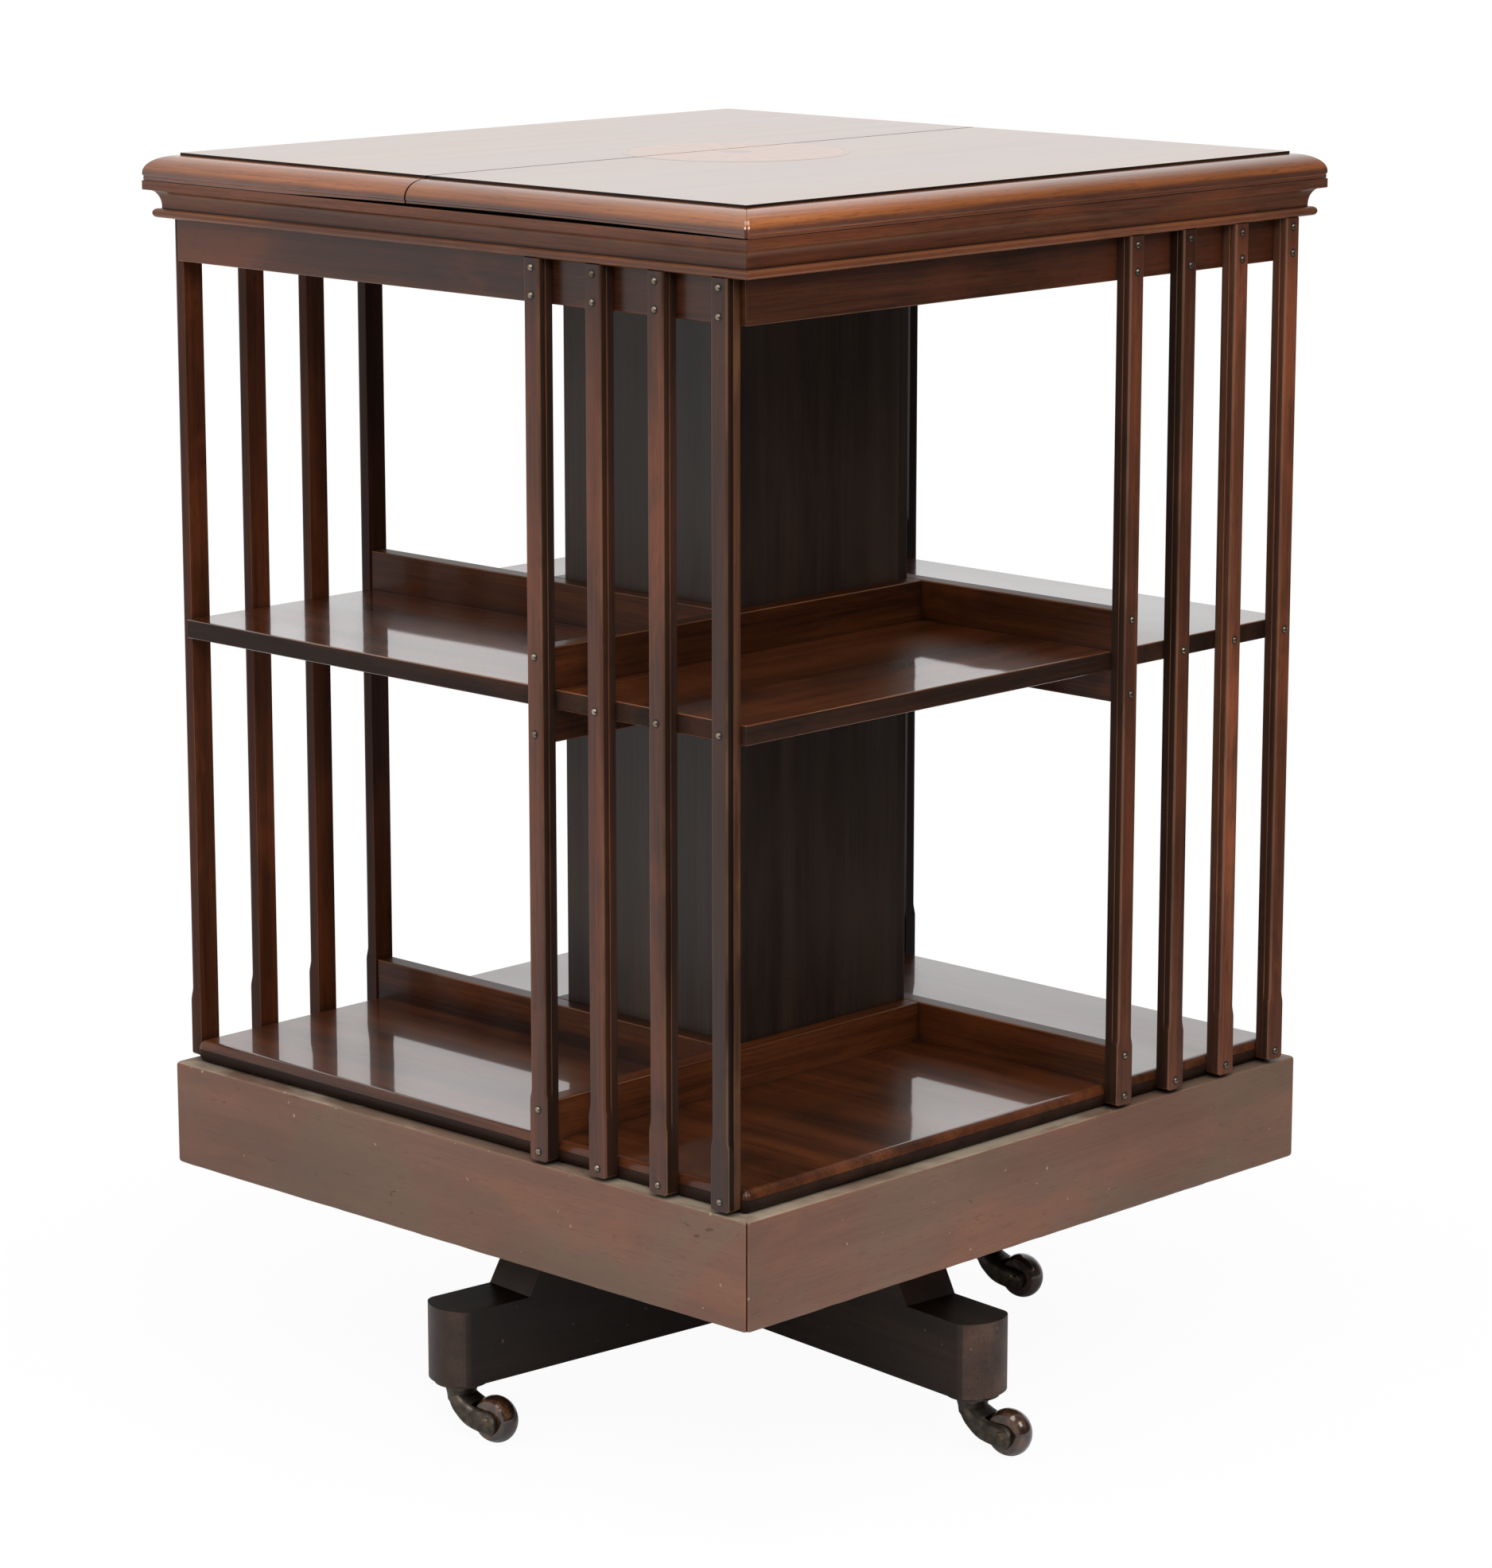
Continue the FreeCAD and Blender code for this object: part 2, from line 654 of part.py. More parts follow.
def caster_horn():
    slot = WHEEL_WIDTH / 2 + WHEEL_SIDE_PLAY
    half = slot + CHEEK_THICK
    z_head = WHEEL_RADIUS + HORN_RISE - HORN_HEAD_HEIGHT
    fork = horn_side()
    fork.translate(vec(0, -half, 0))
    fork = fork.extrude(vec(0, 2 * half, 0))
    round_plan = post(half, 0, 2 * Z_ARM).fuse(
        block(0, 2 * CASTER_TRAIL, -half, half, 0, 2 * Z_ARM)
    )
    fork = fork.common(round_plan)
    gap = Part.makeCylinder(
        WHEEL_RADIUS + WHEEL_CLEARANCE, 2 * slot, vec(CASTER_TRAIL, -slot, WHEEL_RADIUS), vec(0, 1, 0)
    )
    eye = Part.makeCylinder(
        AXLE_RADIUS, 4 * half, vec(CASTER_TRAIL, -2 * half, WHEEL_RADIUS), vec(0, 1, 0)
    )
    head = post(HORN_HEAD_RADIUS, z_head, z_head + HORN_HEAD_HEIGHT)
    stem = post(STEM_RADIUS, z_head + HORN_HEAD_HEIGHT, Z_PLATE + STEM_LENGTH)
    return fork.cut(gap).cut(eye).fuse([head, stem]).removeSplitter()


def caster_axle():
    half = WHEEL_WIDTH / 2 + WHEEL_SIDE_PLAY + CHEEK_THICK
    profile = [
        (0, -half - AXLE_HEAD_HEIGHT),
        (AXLE_HEAD_RADIUS * 0.7, -half - AXLE_HEAD_HEIGHT),
        (AXLE_HEAD_RADIUS, -half),
        (AXLE_RADIUS, -half),
        (AXLE_RADIUS, half),
        (AXLE_HEAD_RADIUS, half),
        (AXLE_HEAD_RADIUS * 0.7, half + AXLE_HEAD_HEIGHT),
        (0, half + AXLE_HEAD_HEIGHT),
    ]
    return on_axle(revolved(profile))


def caster_wheel():
    half = WHEEL_WIDTH / 2
    bore = AXLE_RADIUS + AXLE_FIT
    edge = WHEEL_RADIUS - WHEEL_CROWN
    shoulder = half * 0.75
    rim = Part.Wire(
        [
            line(vec(bore, 0, -half), vec(edge - WHEEL_CROWN, 0, -half)),
            line(vec(edge - WHEEL_CROWN, 0, -half), vec(edge, 0, -shoulder)),
            arc(vec(edge, 0, -shoulder), vec(WHEEL_RADIUS, 0, 0), vec(edge, 0, shoulder)),
            line(vec(edge, 0, shoulder), vec(edge - WHEEL_CROWN, 0, half)),
            line(vec(edge - WHEEL_CROWN, 0, half), vec(bore, 0, half)),
            line(vec(bore, 0, half), vec(bore, 0, -half)),
        ]
    )
    return on_axle(Part.Face(rim).revolve(vec(0, 0, 0), UP, 360))


def on_axle(shape):
    """From the Z axis to the wheel's axle, along Y at the end of the trail."""
    copy = shape.copy()
    copy.rotate(vec(0, 0, 0), vec(1, 0, 0), 90)
    return moved(copy, CASTER_TRAIL, 0, WHEEL_RADIUS)


# ---- assembly -------------------------------------------------------------------------
four(plinth_board, "plinth")
nodes["plinth_blocks"] = glue_blocks()
nodes["bottom_board"] = bottom_board()
four(book_stop, "book_stop")
four(mid_divider, "divider")
four(shelf_board, "shelf")
four(column_panel, "column_panel")
four(frieze_rail, "frieze")
nodes["ceiling_board"] = ceiling_board()
four(cornice_moulding, "cornice")
top_pieces()
four(slat_group, "slats")
nodes["slat_studs"] = Part.makeCompound(
    [turned(stud, 90 * index) for index in range(4) for stud in stud_heads()]
)
nodes["pivot_cup"] = pivot_cup()
nodes["cup_screws"] = Part.makeCompound(cup_screws())
nodes["guide_bush"] = guide_bush()
nodes["base_arm_x"] = base_arm(True)
nodes["base_arm_y"] = base_arm(False)
nodes["pivot_flange"] = pivot_flange()
nodes["pivot_spindle"] = spindle()
nodes["base_screws"] = Part.makeCompound(flange_screws() + plate_screws())
nodes["caster_plates"] = caster_plates()
for number in range(4):
    for part_name, build in (
        ("horn", caster_horn),
        ("axle", caster_axle),
        ("wheel", caster_wheel),
    ):
        piece = at_caster(turned(build(), CASTER_HEADING), number)
        nodes["caster_" + part_name + "_" + SIDES[(number + 1) % 4]] = piece

os.makedirs("parts", exist_ok=True)
for name, shape in nodes.items():
    shape.exportStep("parts/" + name + ".step")
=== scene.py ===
import json
from math import atan2, copysign, cos, pi, radians, sin, sqrt

import bmesh
import bpy
from mathutils import Matrix, Vector, noise


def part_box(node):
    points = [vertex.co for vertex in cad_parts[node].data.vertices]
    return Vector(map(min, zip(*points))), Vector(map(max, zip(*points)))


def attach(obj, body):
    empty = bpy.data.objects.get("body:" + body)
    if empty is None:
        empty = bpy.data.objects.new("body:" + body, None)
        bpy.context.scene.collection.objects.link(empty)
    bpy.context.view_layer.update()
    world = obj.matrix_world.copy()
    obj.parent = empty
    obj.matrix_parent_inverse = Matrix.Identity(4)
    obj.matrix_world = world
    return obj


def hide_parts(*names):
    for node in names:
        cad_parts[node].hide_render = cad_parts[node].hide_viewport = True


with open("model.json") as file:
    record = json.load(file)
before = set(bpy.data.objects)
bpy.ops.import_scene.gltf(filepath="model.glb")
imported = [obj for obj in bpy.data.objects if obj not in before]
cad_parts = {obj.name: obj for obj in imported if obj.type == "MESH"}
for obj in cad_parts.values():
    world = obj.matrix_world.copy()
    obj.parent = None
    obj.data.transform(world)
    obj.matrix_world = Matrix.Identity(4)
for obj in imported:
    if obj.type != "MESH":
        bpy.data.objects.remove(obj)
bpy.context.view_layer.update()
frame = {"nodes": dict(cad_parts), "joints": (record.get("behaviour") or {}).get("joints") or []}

# Mahogany revolving bookcase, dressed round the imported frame.  Metres, +Z up, front face towards -Y.
MM = 0.001
SIDES = ("front", "right", "back", "left")
SHARP_ANGLE = radians(40)

# ---- sizes read from the frame ----
low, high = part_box("frieze_front")
CASE, Z_FRIEZE, Z_CASE_TOP = high.x, low.z, high.z
low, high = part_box("plinth_front")
PLINTH, Z_PLINTH, Z_BOTTOM = high.x, low.z, high.z
SHELF_LOW, SHELF_HIGH = (corner.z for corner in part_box("shelf_front"))
low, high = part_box("top_right")
TOP, Z_TOP = high.x, high.z
TOP_JOINT = (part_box("top_left")[1].x, low.x)
low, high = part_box("cornice_front")
Z_BEAD, Z_BAND, BAND = low.z, high.z, high.x
SLAT_LOW, SLAT_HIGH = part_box("slats_front")
INLAY_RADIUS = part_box("patera_inlay")[1].x
ARM_LOW, ARM_HIGH = (corner.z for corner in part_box("base_arm_x"))
JOINTS = {joint["name"]: joint for joint in frame["joints"]}

# ---- sizes of the dressed pieces ----
PLINTH_THICK = 18 * MM
PLINTH_CORNER = 3.6 * MM
PLINTH_ROUNDS = (0.3 * MM, 2.2 * MM, 1.9 * MM, 0.5 * MM)  # inner and outer edge below, outer and inner above
PLINTH_MITRE_DENT = 0.6 * MM
PLINTH_WEAR = 0.45 * MM
FRIEZE_THICK = 12 * MM
FRIEZE_CORNER = 0.8 * MM
FRIEZE_ROUNDS = (0.4 * MM, 0.9 * MM, 0.3 * MM, 0.3 * MM)
MITRE_GAP = 0.12 * MM
SHELF_ROUND = 1.1 * MM
DIVIDER_ROUND = 0.9 * MM
PANEL_ROUND = 0.6 * MM
CEILING_ROUND = 0.7 * MM
NOSING = 4.6 * MM
NOSING_SHORT = 0.5 * MM  # how much lower its curve is than the board is thick
NOSING_FULLNESS = 0.8  # 1 is an ellipse, less is fuller
LEAST_CORNER = 0.02 * MM  # keeps the nosing's innermost corners from closing on a point

SLAT_COUNT = 4
SLAT_WIDTH = 14.5 * MM
SLAT_PLAIN = 34 * MM  # plain foot below the moulded edges
SLAT_TONGUE = 8.4 * MM  # run-out of the moulded edges
SLAT_TOE = 1.4 * MM
SLAT_ROUND = (1.7 * MM, 3.2 * MM)  # across and deep
SLAT_LEDGE = 0.9 * MM
SLAT_LEDGE_DEPTH = 4.2 * MM
SLAT_FOOT_ROUND = 1.3 * MM
SLAT_ARRIS = 0.2 * MM
STUD_RADIUS = 2.6 * MM
STUD_DOME = 1.95 * MM
STUD_HEIGHT = 1.3 * MM
STUD_RING = 0.15 * MM  # height of the dark ring of painted shade round a stud
STUD_SUNK = 0.6 * MM
STUD_MARGIN = 5.2 * MM
STUD_SIDES = 24

THUMB_WIDTH = 17 * MM
THUMB_QUIRK = 1.6 * MM
THUMB_DROP = 10.6 * MM
THUMB_FULLNESS = 0.92  # 1 is an ellipse, less is fuller
THUMB_UNDERCUT = (0.15 * MM, 0.7 * MM)  # in and down from the nose
TOP_SEAT = 0.55 * MM  # the edging's foot below the boards, on the cornice
TOP_FOOT_STEP = 0.5 * MM
TOP_GROOVE = 2.3 * MM  # scribed line above the foot
TOP_GROOVE_DEPTH = 0.25 * MM
TOP_FOOT_ARRIS = 0.5 * MM
TOP_MITRE_ROUND = 2.0 * MM
TOP_MITRE_WEAR = 2.0  # 1 is a round corner, 2 a flat one
TOP_CUPPING = 1.9 * MM  # lift of the edging's foot along the front
TOP_CUPPING_START = -121 * MM
TOP_CUPPING_END = TOP + 12 * MM
TOP_JOINT_OPENING = 0.4 * MM  # each side, beyond the joint of the CAD boards
FIELD_ARRIS = 0.3 * MM
INLAY_PROUD = 0.06 * MM
INLAY_THICK = 0.9 * MM
BAND_HEIGHT = 5.6 * MM
BAND_ROUND = 0.5 * MM
BAND_STEP = 2.4 * MM
COVE_HEIGHT = 9.8 * MM
COVE_DEPTH = 5.8 * MM
BEAD_RADIUS = 2.7 * MM
BEAD_NECK = 1.3 * MM
BEAD_PROJECTION = 10.4 * MM
CORNICE_MITRE_ROUND = 0.5 * MM

ARM_WIDTH = 39 * MM
ARM_REACH = 224 * MM
ARM_BOW = 9 * MM
ARM_EDGE = 3 * MM
ARM_ARRIS = 1.4 * MM
FOOT_HEIGHT = 46.3 * MM
FOOT_LENGTH = 46 * MM
SHOULDER_RUN = 26 * MM

WHEEL_RADIUS = 14.3 * MM
WHEEL_HALF = 6.7 * MM
WHEEL_SLOT = 7.3 * MM
WHEEL_CROWN = 2.4 * MM  # fall of the tread to its edges
WHEEL_CLEARANCE = 1.1 * MM
CASTER_TRAIL = 27 * MM
HORN_TOP = WHEEL_RADIUS + 18 * MM
HORN_HALF = 10.1 * MM
HORN_HUB = 6.8 * MM
HORN_CHEEK = 9.8 * MM  # the cheeks reach this far below the axle
HORN_ARRIS = 0.45 * MM
NECK_HALF = 8.2 * MM
# Outlines in millimetres: the neck's as (along, up) before the hub, the head's as (radius, up) from the
# horn's top, the wheel's side as (radius, depth) and the pin's end as (radius, height over the cheek).
NECK_UNDER = ((-7, 26), (-5.6, 20), (0.2, 13.6), (10, 7.4))
NECK_OVER = ((7.6, 27), (10.2, 25.4), (14, 23.4), (19, 21.8))
HEAD_STEM = ((0, -13.4), (5, -13.2), (7.2, -12.5), (8.2, -11), (8.7, -7), (9.6, -3.4))
HEAD_RIM = ((10.2, -2.4), (10.2, -0.8), (9.7, 0), (4, 0), (4, 1), (0, 1))
WHEEL_SIDE = ((2.1, 0.9), (4.6, 0.9), (5.2, 0.3), (9.8, 0.1))
PIN_DOME = ((0, 0.85), (1.2, 0.75), (2.2, 0.45), (2.8, -0.05), (2, -0.15))


# ---- node helpers ----
def srgb(red, green, blue):
    """Linear colour of an 8-bit sRGB one."""
    levels = [channel / 255 for channel in (red, green, blue)]
    linear = [level / 12.92 if level <= 0.04045 else ((level + 0.055) / 1.055) ** 2.4 for level in levels]
    return (*linear, 1.0)


def node(tree, kind, inputs=(), **settings):
    """New shader node.  Inputs are by index or by name, each a value or a socket."""
    made = tree.nodes.new("ShaderNode" + kind)
    for key, value in settings.items():
        setattr(made, key, value)
    for key, value in inputs.items() if isinstance(inputs, dict) else enumerate(inputs):
        if isinstance(value, bpy.types.NodeSocket):
            tree.links.new(value, made.inputs[key])
        else:
            made.inputs[key].default_value = value
    return made


def calc(tree, operation, *values):
    return node(tree, "Math", values, operation=operation).outputs[0]


def times(tree, first, second):
    return calc(tree, "MULTIPLY", first, second)


def grain_noise(tree, vector, scale, detail=2.0, rough=0.5, twist=0.0):
    inputs = {
        "Vector": node(tree, "VectorMath", (vector, scale), operation="MULTIPLY").outputs[0],
        "Scale": 1.0,
        "Detail": detail,
        "Roughness": rough,
        "Distortion": twist,
    }
    return node(tree, "TexNoise", inputs).outputs["Fac"]


def remap(tree, value, low, high, to_low=0.0, to_high=1.0):
    inputs = (value, low, high, to_low, to_high)
    return node(tree, "MapRange", inputs, interpolation_type="SMOOTHSTEP").outputs[0]


def blend(tree, factor, first, second, kind="MIX"):
    made = node(tree, "Mix", {0: factor, 6: first, 7: second}, data_type="RGBA", blend_type=kind)
    return made.outputs[2]


def ramp(tree, factor, stops):
    made = node(tree, "ValToRGB", (factor,))
    elements = made.color_ramp.elements
    while len(elements) < len(stops):
        elements.new(0.5)
    for element, (position, colour) in zip(elements, stops):
        element.position = position
        element.color = colour
    return made.outputs[0]


def new_material(name):
    material = bpy.data.materials.new(name)
    material.use_nodes = True
    tree = material.node_tree
    tree.nodes.clear()
    return material, tree


def coords(tree, kind="Object"):
    return node(tree, "TexCoord").outputs[kind]


def split(tree, vector):
    return node(tree, "SeparateXYZ", (vector,)).outputs


def object_place(tree, axis):
    """Object coordinates with the grain along the first of them, shifted from piece to piece."""
    parts = split(tree, coords(tree))
    order = {"X": (0, 1, 2), "Y": (1, 2, 0), "Z": (2, 0, 1)}[axis]
    along = node(tree, "CombineXYZ", tuple(parts[index] for index in order)).outputs[0]
    seed = node(tree, "Attribute", attribute_type="OBJECT", attribute_name="grain_seed").outputs["Fac"]
    shift = node(tree, "CombineXYZ", (seed, times(tree, seed, 1.7), times(tree, seed, 2.3))).outputs[0]
    return node(tree, "VectorMath", (along, shift), operation="ADD").outputs[0]


def edge_mask(tree):
    """1 on the rounded arrises of a piece whose flats follow its own axes, 0 on the flats."""
    sizes = [calc(tree, "ABSOLUTE", part) for part in split(tree, coords(tree, "Normal"))]
    largest = calc(tree, "MAXIMUM", calc(tree, "MAXIMUM", sizes[0], sizes[1]), sizes[2])
    return remap(tree, largest, 0.99, 0.86)


def facing(tree):
    """Upward part of the surface's normal."""
    return split(tree, node(tree, "NewGeometry").outputs["Normal"])[2]


def surface(tree, inputs):
    """Ends a material in one Principled shader."""
    node(tree, "OutputMaterial", (node(tree, "BsdfPrincipled", inputs).outputs[0],))


def fine_surface(tree, colour, roughness, relief, strength, more):
    """Ends a material over fine relief, with more of the shader's inputs by name."""
    bump = {"Strength": strength, "Distance": 0.1 * MM, "Height": relief}
    normal = node(tree, "Bump", bump).outputs[0]
    surface(tree, {"Base Color": colour, "Roughness": roughness, "Normal": normal, **more})


# ---- wood ----
HAZE = srgb(98, 82, 66)


def wood(
    name, axis, dark, mid, light, patch, worn, figure_spread=0.16, mottle=0.35, wear=0.5, dust=0.0, dirt=0.6,
    dirt_open=0.75, rough=0.36, rough_spread=0.12, coat=0.2, coat_rough=0.18, coat_ior=1.5, specular=0.28,
    bump=0.25, waves=0.15, scratches=0.0, haze=0.0, grimy_head=False, bleached=None,
):
    """Polished mahogany: ribbon figure, fibres, pores, mottled colour, rubbed arrises, dust, and dirt with
    painted shade in crevices.
    """
    material, tree = new_material(name + "_" + axis.lower())
    place = object_place(tree, axis)
    ribbon = grain_noise(tree, place, (1.6, 46, 46), 3, 0.55, 0.25)
    fibre = grain_noise(tree, place, (16, 620, 620), 3, 0.6)
    pores = grain_noise(tree, place, (95, 1900, 1900), 1)
    blotches = grain_noise(tree, place, (9, 21, 21), 4, 0.6, 0.4)
    cloud = grain_noise(tree, place, (2.6, 7, 7), 3)
    figure = calc(tree, "ADD", times(tree, ribbon, 0.66), times(tree, fibre, 0.34))
    stops = (0.5 - figure_spread, 0.5, 0.5 + figure_spread)
    colour = ramp(tree, figure, list(zip(stops, (dark, mid, light))))
    patches = times(tree, remap(tree, blotches, 0.46, 0.66), mottle)
    colour = blend(tree, patches, colour, patch)
    # Painted light: faces turned upward take lighter colours, as if lit from above.
    if bleached:
        lit_colour = ramp(tree, figure, list(zip(stops, bleached)))
        sky = remap(tree, facing(tree), 0.05, 0.45)
        colour = blend(tree, sky, colour, lit_colour)
    if haze:
        veil = grain_noise(tree, place, (7, 9, 9), 3, 0.55, 0.6)
        colour = blend(tree, remap(tree, veil, 0.42, 0.62, 0.0, haze), colour, HAZE)
    # The piece's tone: partly its own, partly painted light and shade for its place.
    tone_and_light = node(tree, "Attribute", attribute_type="OBJECT", attribute_name="tone_and_light").outputs["Fac"]
    # Painted shade: darker towards the top of the case, as under the cornice's overhang.
    if grimy_head:
        up = split(tree, coords(tree))[2]
        tone_and_light = times(tree, tone_and_light, remap(tree, up, Z_CASE_TOP - 75 * MM, Z_CASE_TOP - 15 * MM, 1.0, 0.4))
    shade = times(tree, tone_and_light, remap(tree, cloud, 0.3, 0.7, 0.8, 1.18))
    shade_colour = node(tree, "CombineColor", (shade, shade, shade)).outputs[0]
    colour = blend(tree, 1.0, colour, shade_colour, "MULTIPLY")
    pore_dark = remap(tree, pores, 0.60, 0.72, 0.0, 0.55)
    colour = blend(tree, pore_dark, colour, dark)
    rubbed = times(tree, edge_mask(tree), remap(tree, blotches, 0.36, 0.60, 0.25, 1.0))
    colour = blend(tree, times(tree, rubbed, wear), colour, worn)
    if scratches:
        marks = grain_noise(tree, place, (60, 150, 150), 2, 0.5, 1.2)
        nicks = remap(tree, marks, 0.70, 0.76, 0.0, scratches)
        colour = blend(tree, nicks, colour, srgb(34, 20, 16))
        dots = grain_noise(tree, place, (210, 260, 260), 1)
        specks = remap(tree, dots, 0.76, 0.80, 0.0, scratches)
        colour = blend(tree, specks, colour, srgb(196, 168, 140))
    roughness = remap(tree, cloud, 0.3, 0.7, rough - rough_spread, rough + rough_spread)
    # Dirt and painted shade: colour darkens where ambient occlusion finds crevices and hollows, where shade
    # falls.
    crevice = node(tree, "AmbientOcclusion", {"Distance": 9 * MM}, samples=6).outputs["AO"]
    dirty = remap(tree, crevice, dirt_open, dirt_open - 0.5, 0.0, dirt)
    colour = blend(tree, dirty, colour, srgb(24, 14, 11))
    if dust:
        up = remap(tree, facing(tree), 0.55, 0.95)
        settled = times(tree, up, remap(tree, blotches, 0.40, 0.60, 0.15, 1.0))
        settled = times(tree, settled, dust)
        colour = blend(tree, settled, colour, srgb(166, 152, 132))
        roughness = calc(tree, "ADD", roughness, times(tree, settled, 0.4))
    relief = calc(tree, "ADD", times(tree, fibre, 0.35), times(tree, pore_dark, -0.9))
    fine = node(tree, "Bump", {"Strength": bump, "Distance": 0.12 * MM, "Height": relief})
    swell = grain_noise(tree, place, (5, 26, 26), 1)
    wave = {"Strength": waves, "Distance": 1.2 * MM, "Height": swell}
    inputs = {
        "Base Color": colour,
        "Roughness": roughness,
        "Specular IOR Level": specular,
        "Coat Weight": coat,
        "Coat Roughness": coat_rough,
        "Coat IOR": coat_ior,
        "Normal": node(tree, "Bump", {**wave, "Normal": fine.outputs[0]}).outputs[0],
        "Coat Normal": node(tree, "Bump", wave).outputs[0],
    }
    surface(tree, inputs)
    return material


def tones(*colours):
    """The dark, middle, light and patch colours of a figure, from 8-bit sRGB ones."""
    return {key: srgb(*colour) for key, colour in zip(("dark", "mid", "light", "patch"), colours)}


def mahogany(axis, name="mahogany", **look):
    colours = tones((38, 18, 9), (62, 31, 16), (90, 47, 26), (106, 53, 28))
    return wood(name, axis, **{**colours, "worn": srgb(150, 100, 66), **look})


# ---- metal, ceramic ----
def metal(name, dark, light, rough=0.4, shine=1.0, pits=0.3):
    """Handled metal: tarnish in patches, brighter where it is rubbed, fine pits."""
    material, tree = new_material(name)
    place = coords(tree)
    tarnish = grain_noise(tree, place, (140, 140, 140), 4, 0.6)
    fine = grain_noise(tree, place, (900, 900, 900), 2)
    open_air = node(tree, "AmbientOcclusion", {"Distance": 3 * MM}, samples=6).outputs["AO"]
    handled = remap(tree, open_air, 0.5, 1.0, 0.25, 1.0)
    rubbed = times(tree, remap(tree, tarnish, 0.36, 0.66), handled)
    colour = blend(tree, rubbed, srgb(*dark), srgb(*light))
    roughness = remap(tree, tarnish, 0.3, 0.7, rough + 0.12, rough - 0.1)
    fine_surface(tree, colour, roughness, fine, pits, {"Metallic": shine})
    return material


def ceramic():
    """Brown salt glaze, darker where it pools, with dark specks."""
    material, tree = new_material("wheel_glaze")
    place = coords(tree)
    pool = grain_noise(tree, place, (90, 90, 90), 4, 0.6, 0.6)
    speck = grain_noise(tree, place, (700, 700, 700), 2)
    colour = ramp(tree, pool, ((0.3, srgb(24, 15, 11)), (0.5, srgb(52, 33, 23)), (0.7, srgb(104, 72, 50))))
    colour = blend(tree, remap(tree, speck, 0.62, 0.72, 0.0, 0.6), colour, srgb(30, 18, 14))
    roughness = remap(tree, pool, 0.35, 0.65, 0.08, 0.2)
    fine_surface(tree, colour, roughness, speck, 0.2, {"Coat Weight": 0.8, "Coat Roughness": 0.05})
    return material


FAN_RAYS = 20


def inlay():
    """Round fan inlay: sand-shaded rays between a button and a cross-banded ring."""
    material, tree = new_material("fan_inlay")
    place = coords(tree)
    x, y, _ = split(tree, place)
    squares = (calc(tree, "POWER", part, 2.0) for part in (x, y))
    radius = calc(tree, "SQRT", calc(tree, "ADD", *squares))
    share = calc(tree, "DIVIDE", radius, INLAY_RADIUS)
    turn = times(tree, calc(tree, "ARCTAN2", y, x), FAN_RAYS / (2 * pi))
    ray = calc(tree, "FRACT", calc(tree, "ADD", turn, FAN_RAYS))
    grain = grain_noise(tree, place, (60, 420, 420), 3)
    veneer = ramp(tree, grain, ((0.3, srgb(150, 96, 54)), (0.7, srgb(164, 108, 64))))
    scorch = times(tree, calc(tree, "POWER", ray, 3.0), 0.45)
    colour = blend(tree, scorch, veneer, srgb(118, 74, 44))
    line = calc(tree, "LESS_THAN", ray, 0.02)
    colour = blend(tree, line, colour, srgb(110, 70, 44))
    rim = calc(tree, "GREATER_THAN", share, 0.92)
    band = grain_noise(tree, place, (300, 300, 300), 2)
    banding = ramp(tree, band, ((0.3, srgb(130, 90, 60)), (0.7, srgb(144, 102, 70))))
    colour = blend(tree, rim, colour, banding)
    string = calc(tree, "COMPARE", share, 0.92, 0.006)
    colour = blend(tree, string, colour, srgb(166, 116, 72))
    button = calc(tree, "LESS_THAN", share, 0.14)
    colour = blend(tree, button, colour, srgb(116, 68, 40))
    roughness = remap(tree, grain, 0.3, 0.7, 0.36, 0.44)
    fine_surface(tree, colour, roughness, grain, 0.1, {"Coat Weight": 1.0, "Coat Roughness": 0.22})
    return material


# ---- finishes ----
POLISHED = {"rough": 0.3, "coat": 1.0, "coat_rough": 0.05, "coat_ior": 1.6, "waves": 0.12, "specular": 0.2}
DULL = {"coat": 0.15, "coat_rough": 0.12, "specular": 0.1, "rough": 0.4}
UNPOLISHED = {"wear": 0.0, "coat": 0.0, "specular": 0.12, "rough": 0.5}
WARM = tones((38, 18, 9), (68, 34, 15), (98, 52, 25), (112, 58, 28))
# Darker tones for faces in shade, painted shade: shelf edges, the nosing's underside, the field's sides and
# the slats' narrow faces.
PAINTED_SHADE_TONES = tones((24, 15, 11), (38, 23, 16), (54, 32, 21), (58, 34, 22))

BOARD_X = mahogany("X")
DIVIDER_X, DIVIDER_Y = (mahogany(axis, "divider_mahogany", **WARM, **DULL) for axis in "XY")
SHELF_X, SHELF_Y = (mahogany(axis, "shelf_mahogany", **WARM, **POLISHED) for axis in "XY")
EDGE_X, EDGE_Y = (mahogany(axis, "shelf_edge_mahogany", **PAINTED_SHADE_TONES, **UNPOLISHED) for axis in "XY")
NOSING_X = mahogany("X", "nosing_mahogany", **WARM, wear=0.0, rough=0.4, coat=0.35, specular=0.2)
DARK_SIDE = mahogany("Y", "top_side_mahogany", **PAINTED_SHADE_TONES, **UNPOLISHED)
POST_Z = mahogany("Z", "slat_mahogany", worn=srgb(122, 90, 68), wear=0.45, grimy_head=True)
POST_SIDE = mahogany("Z", "slat_side_mahogany", **PAINTED_SHADE_TONES, **UNPOLISHED)
SHADED_SIDE = mahogany(
    "Z", "slat_shaded_mahogany", **tones((30, 14, 7), (46, 22, 11), (62, 31, 16), (66, 34, 18)),
    **UNPOLISHED,
)
RUBBED_SIDE = mahogany(
    "Z", "slat_rubbed_mahogany", **tones((54, 32, 20), (92, 56, 35), (112, 70, 44), (126, 84, 54)),
    mottle=0.9, grimy_head=True, **UNPOLISHED,
)
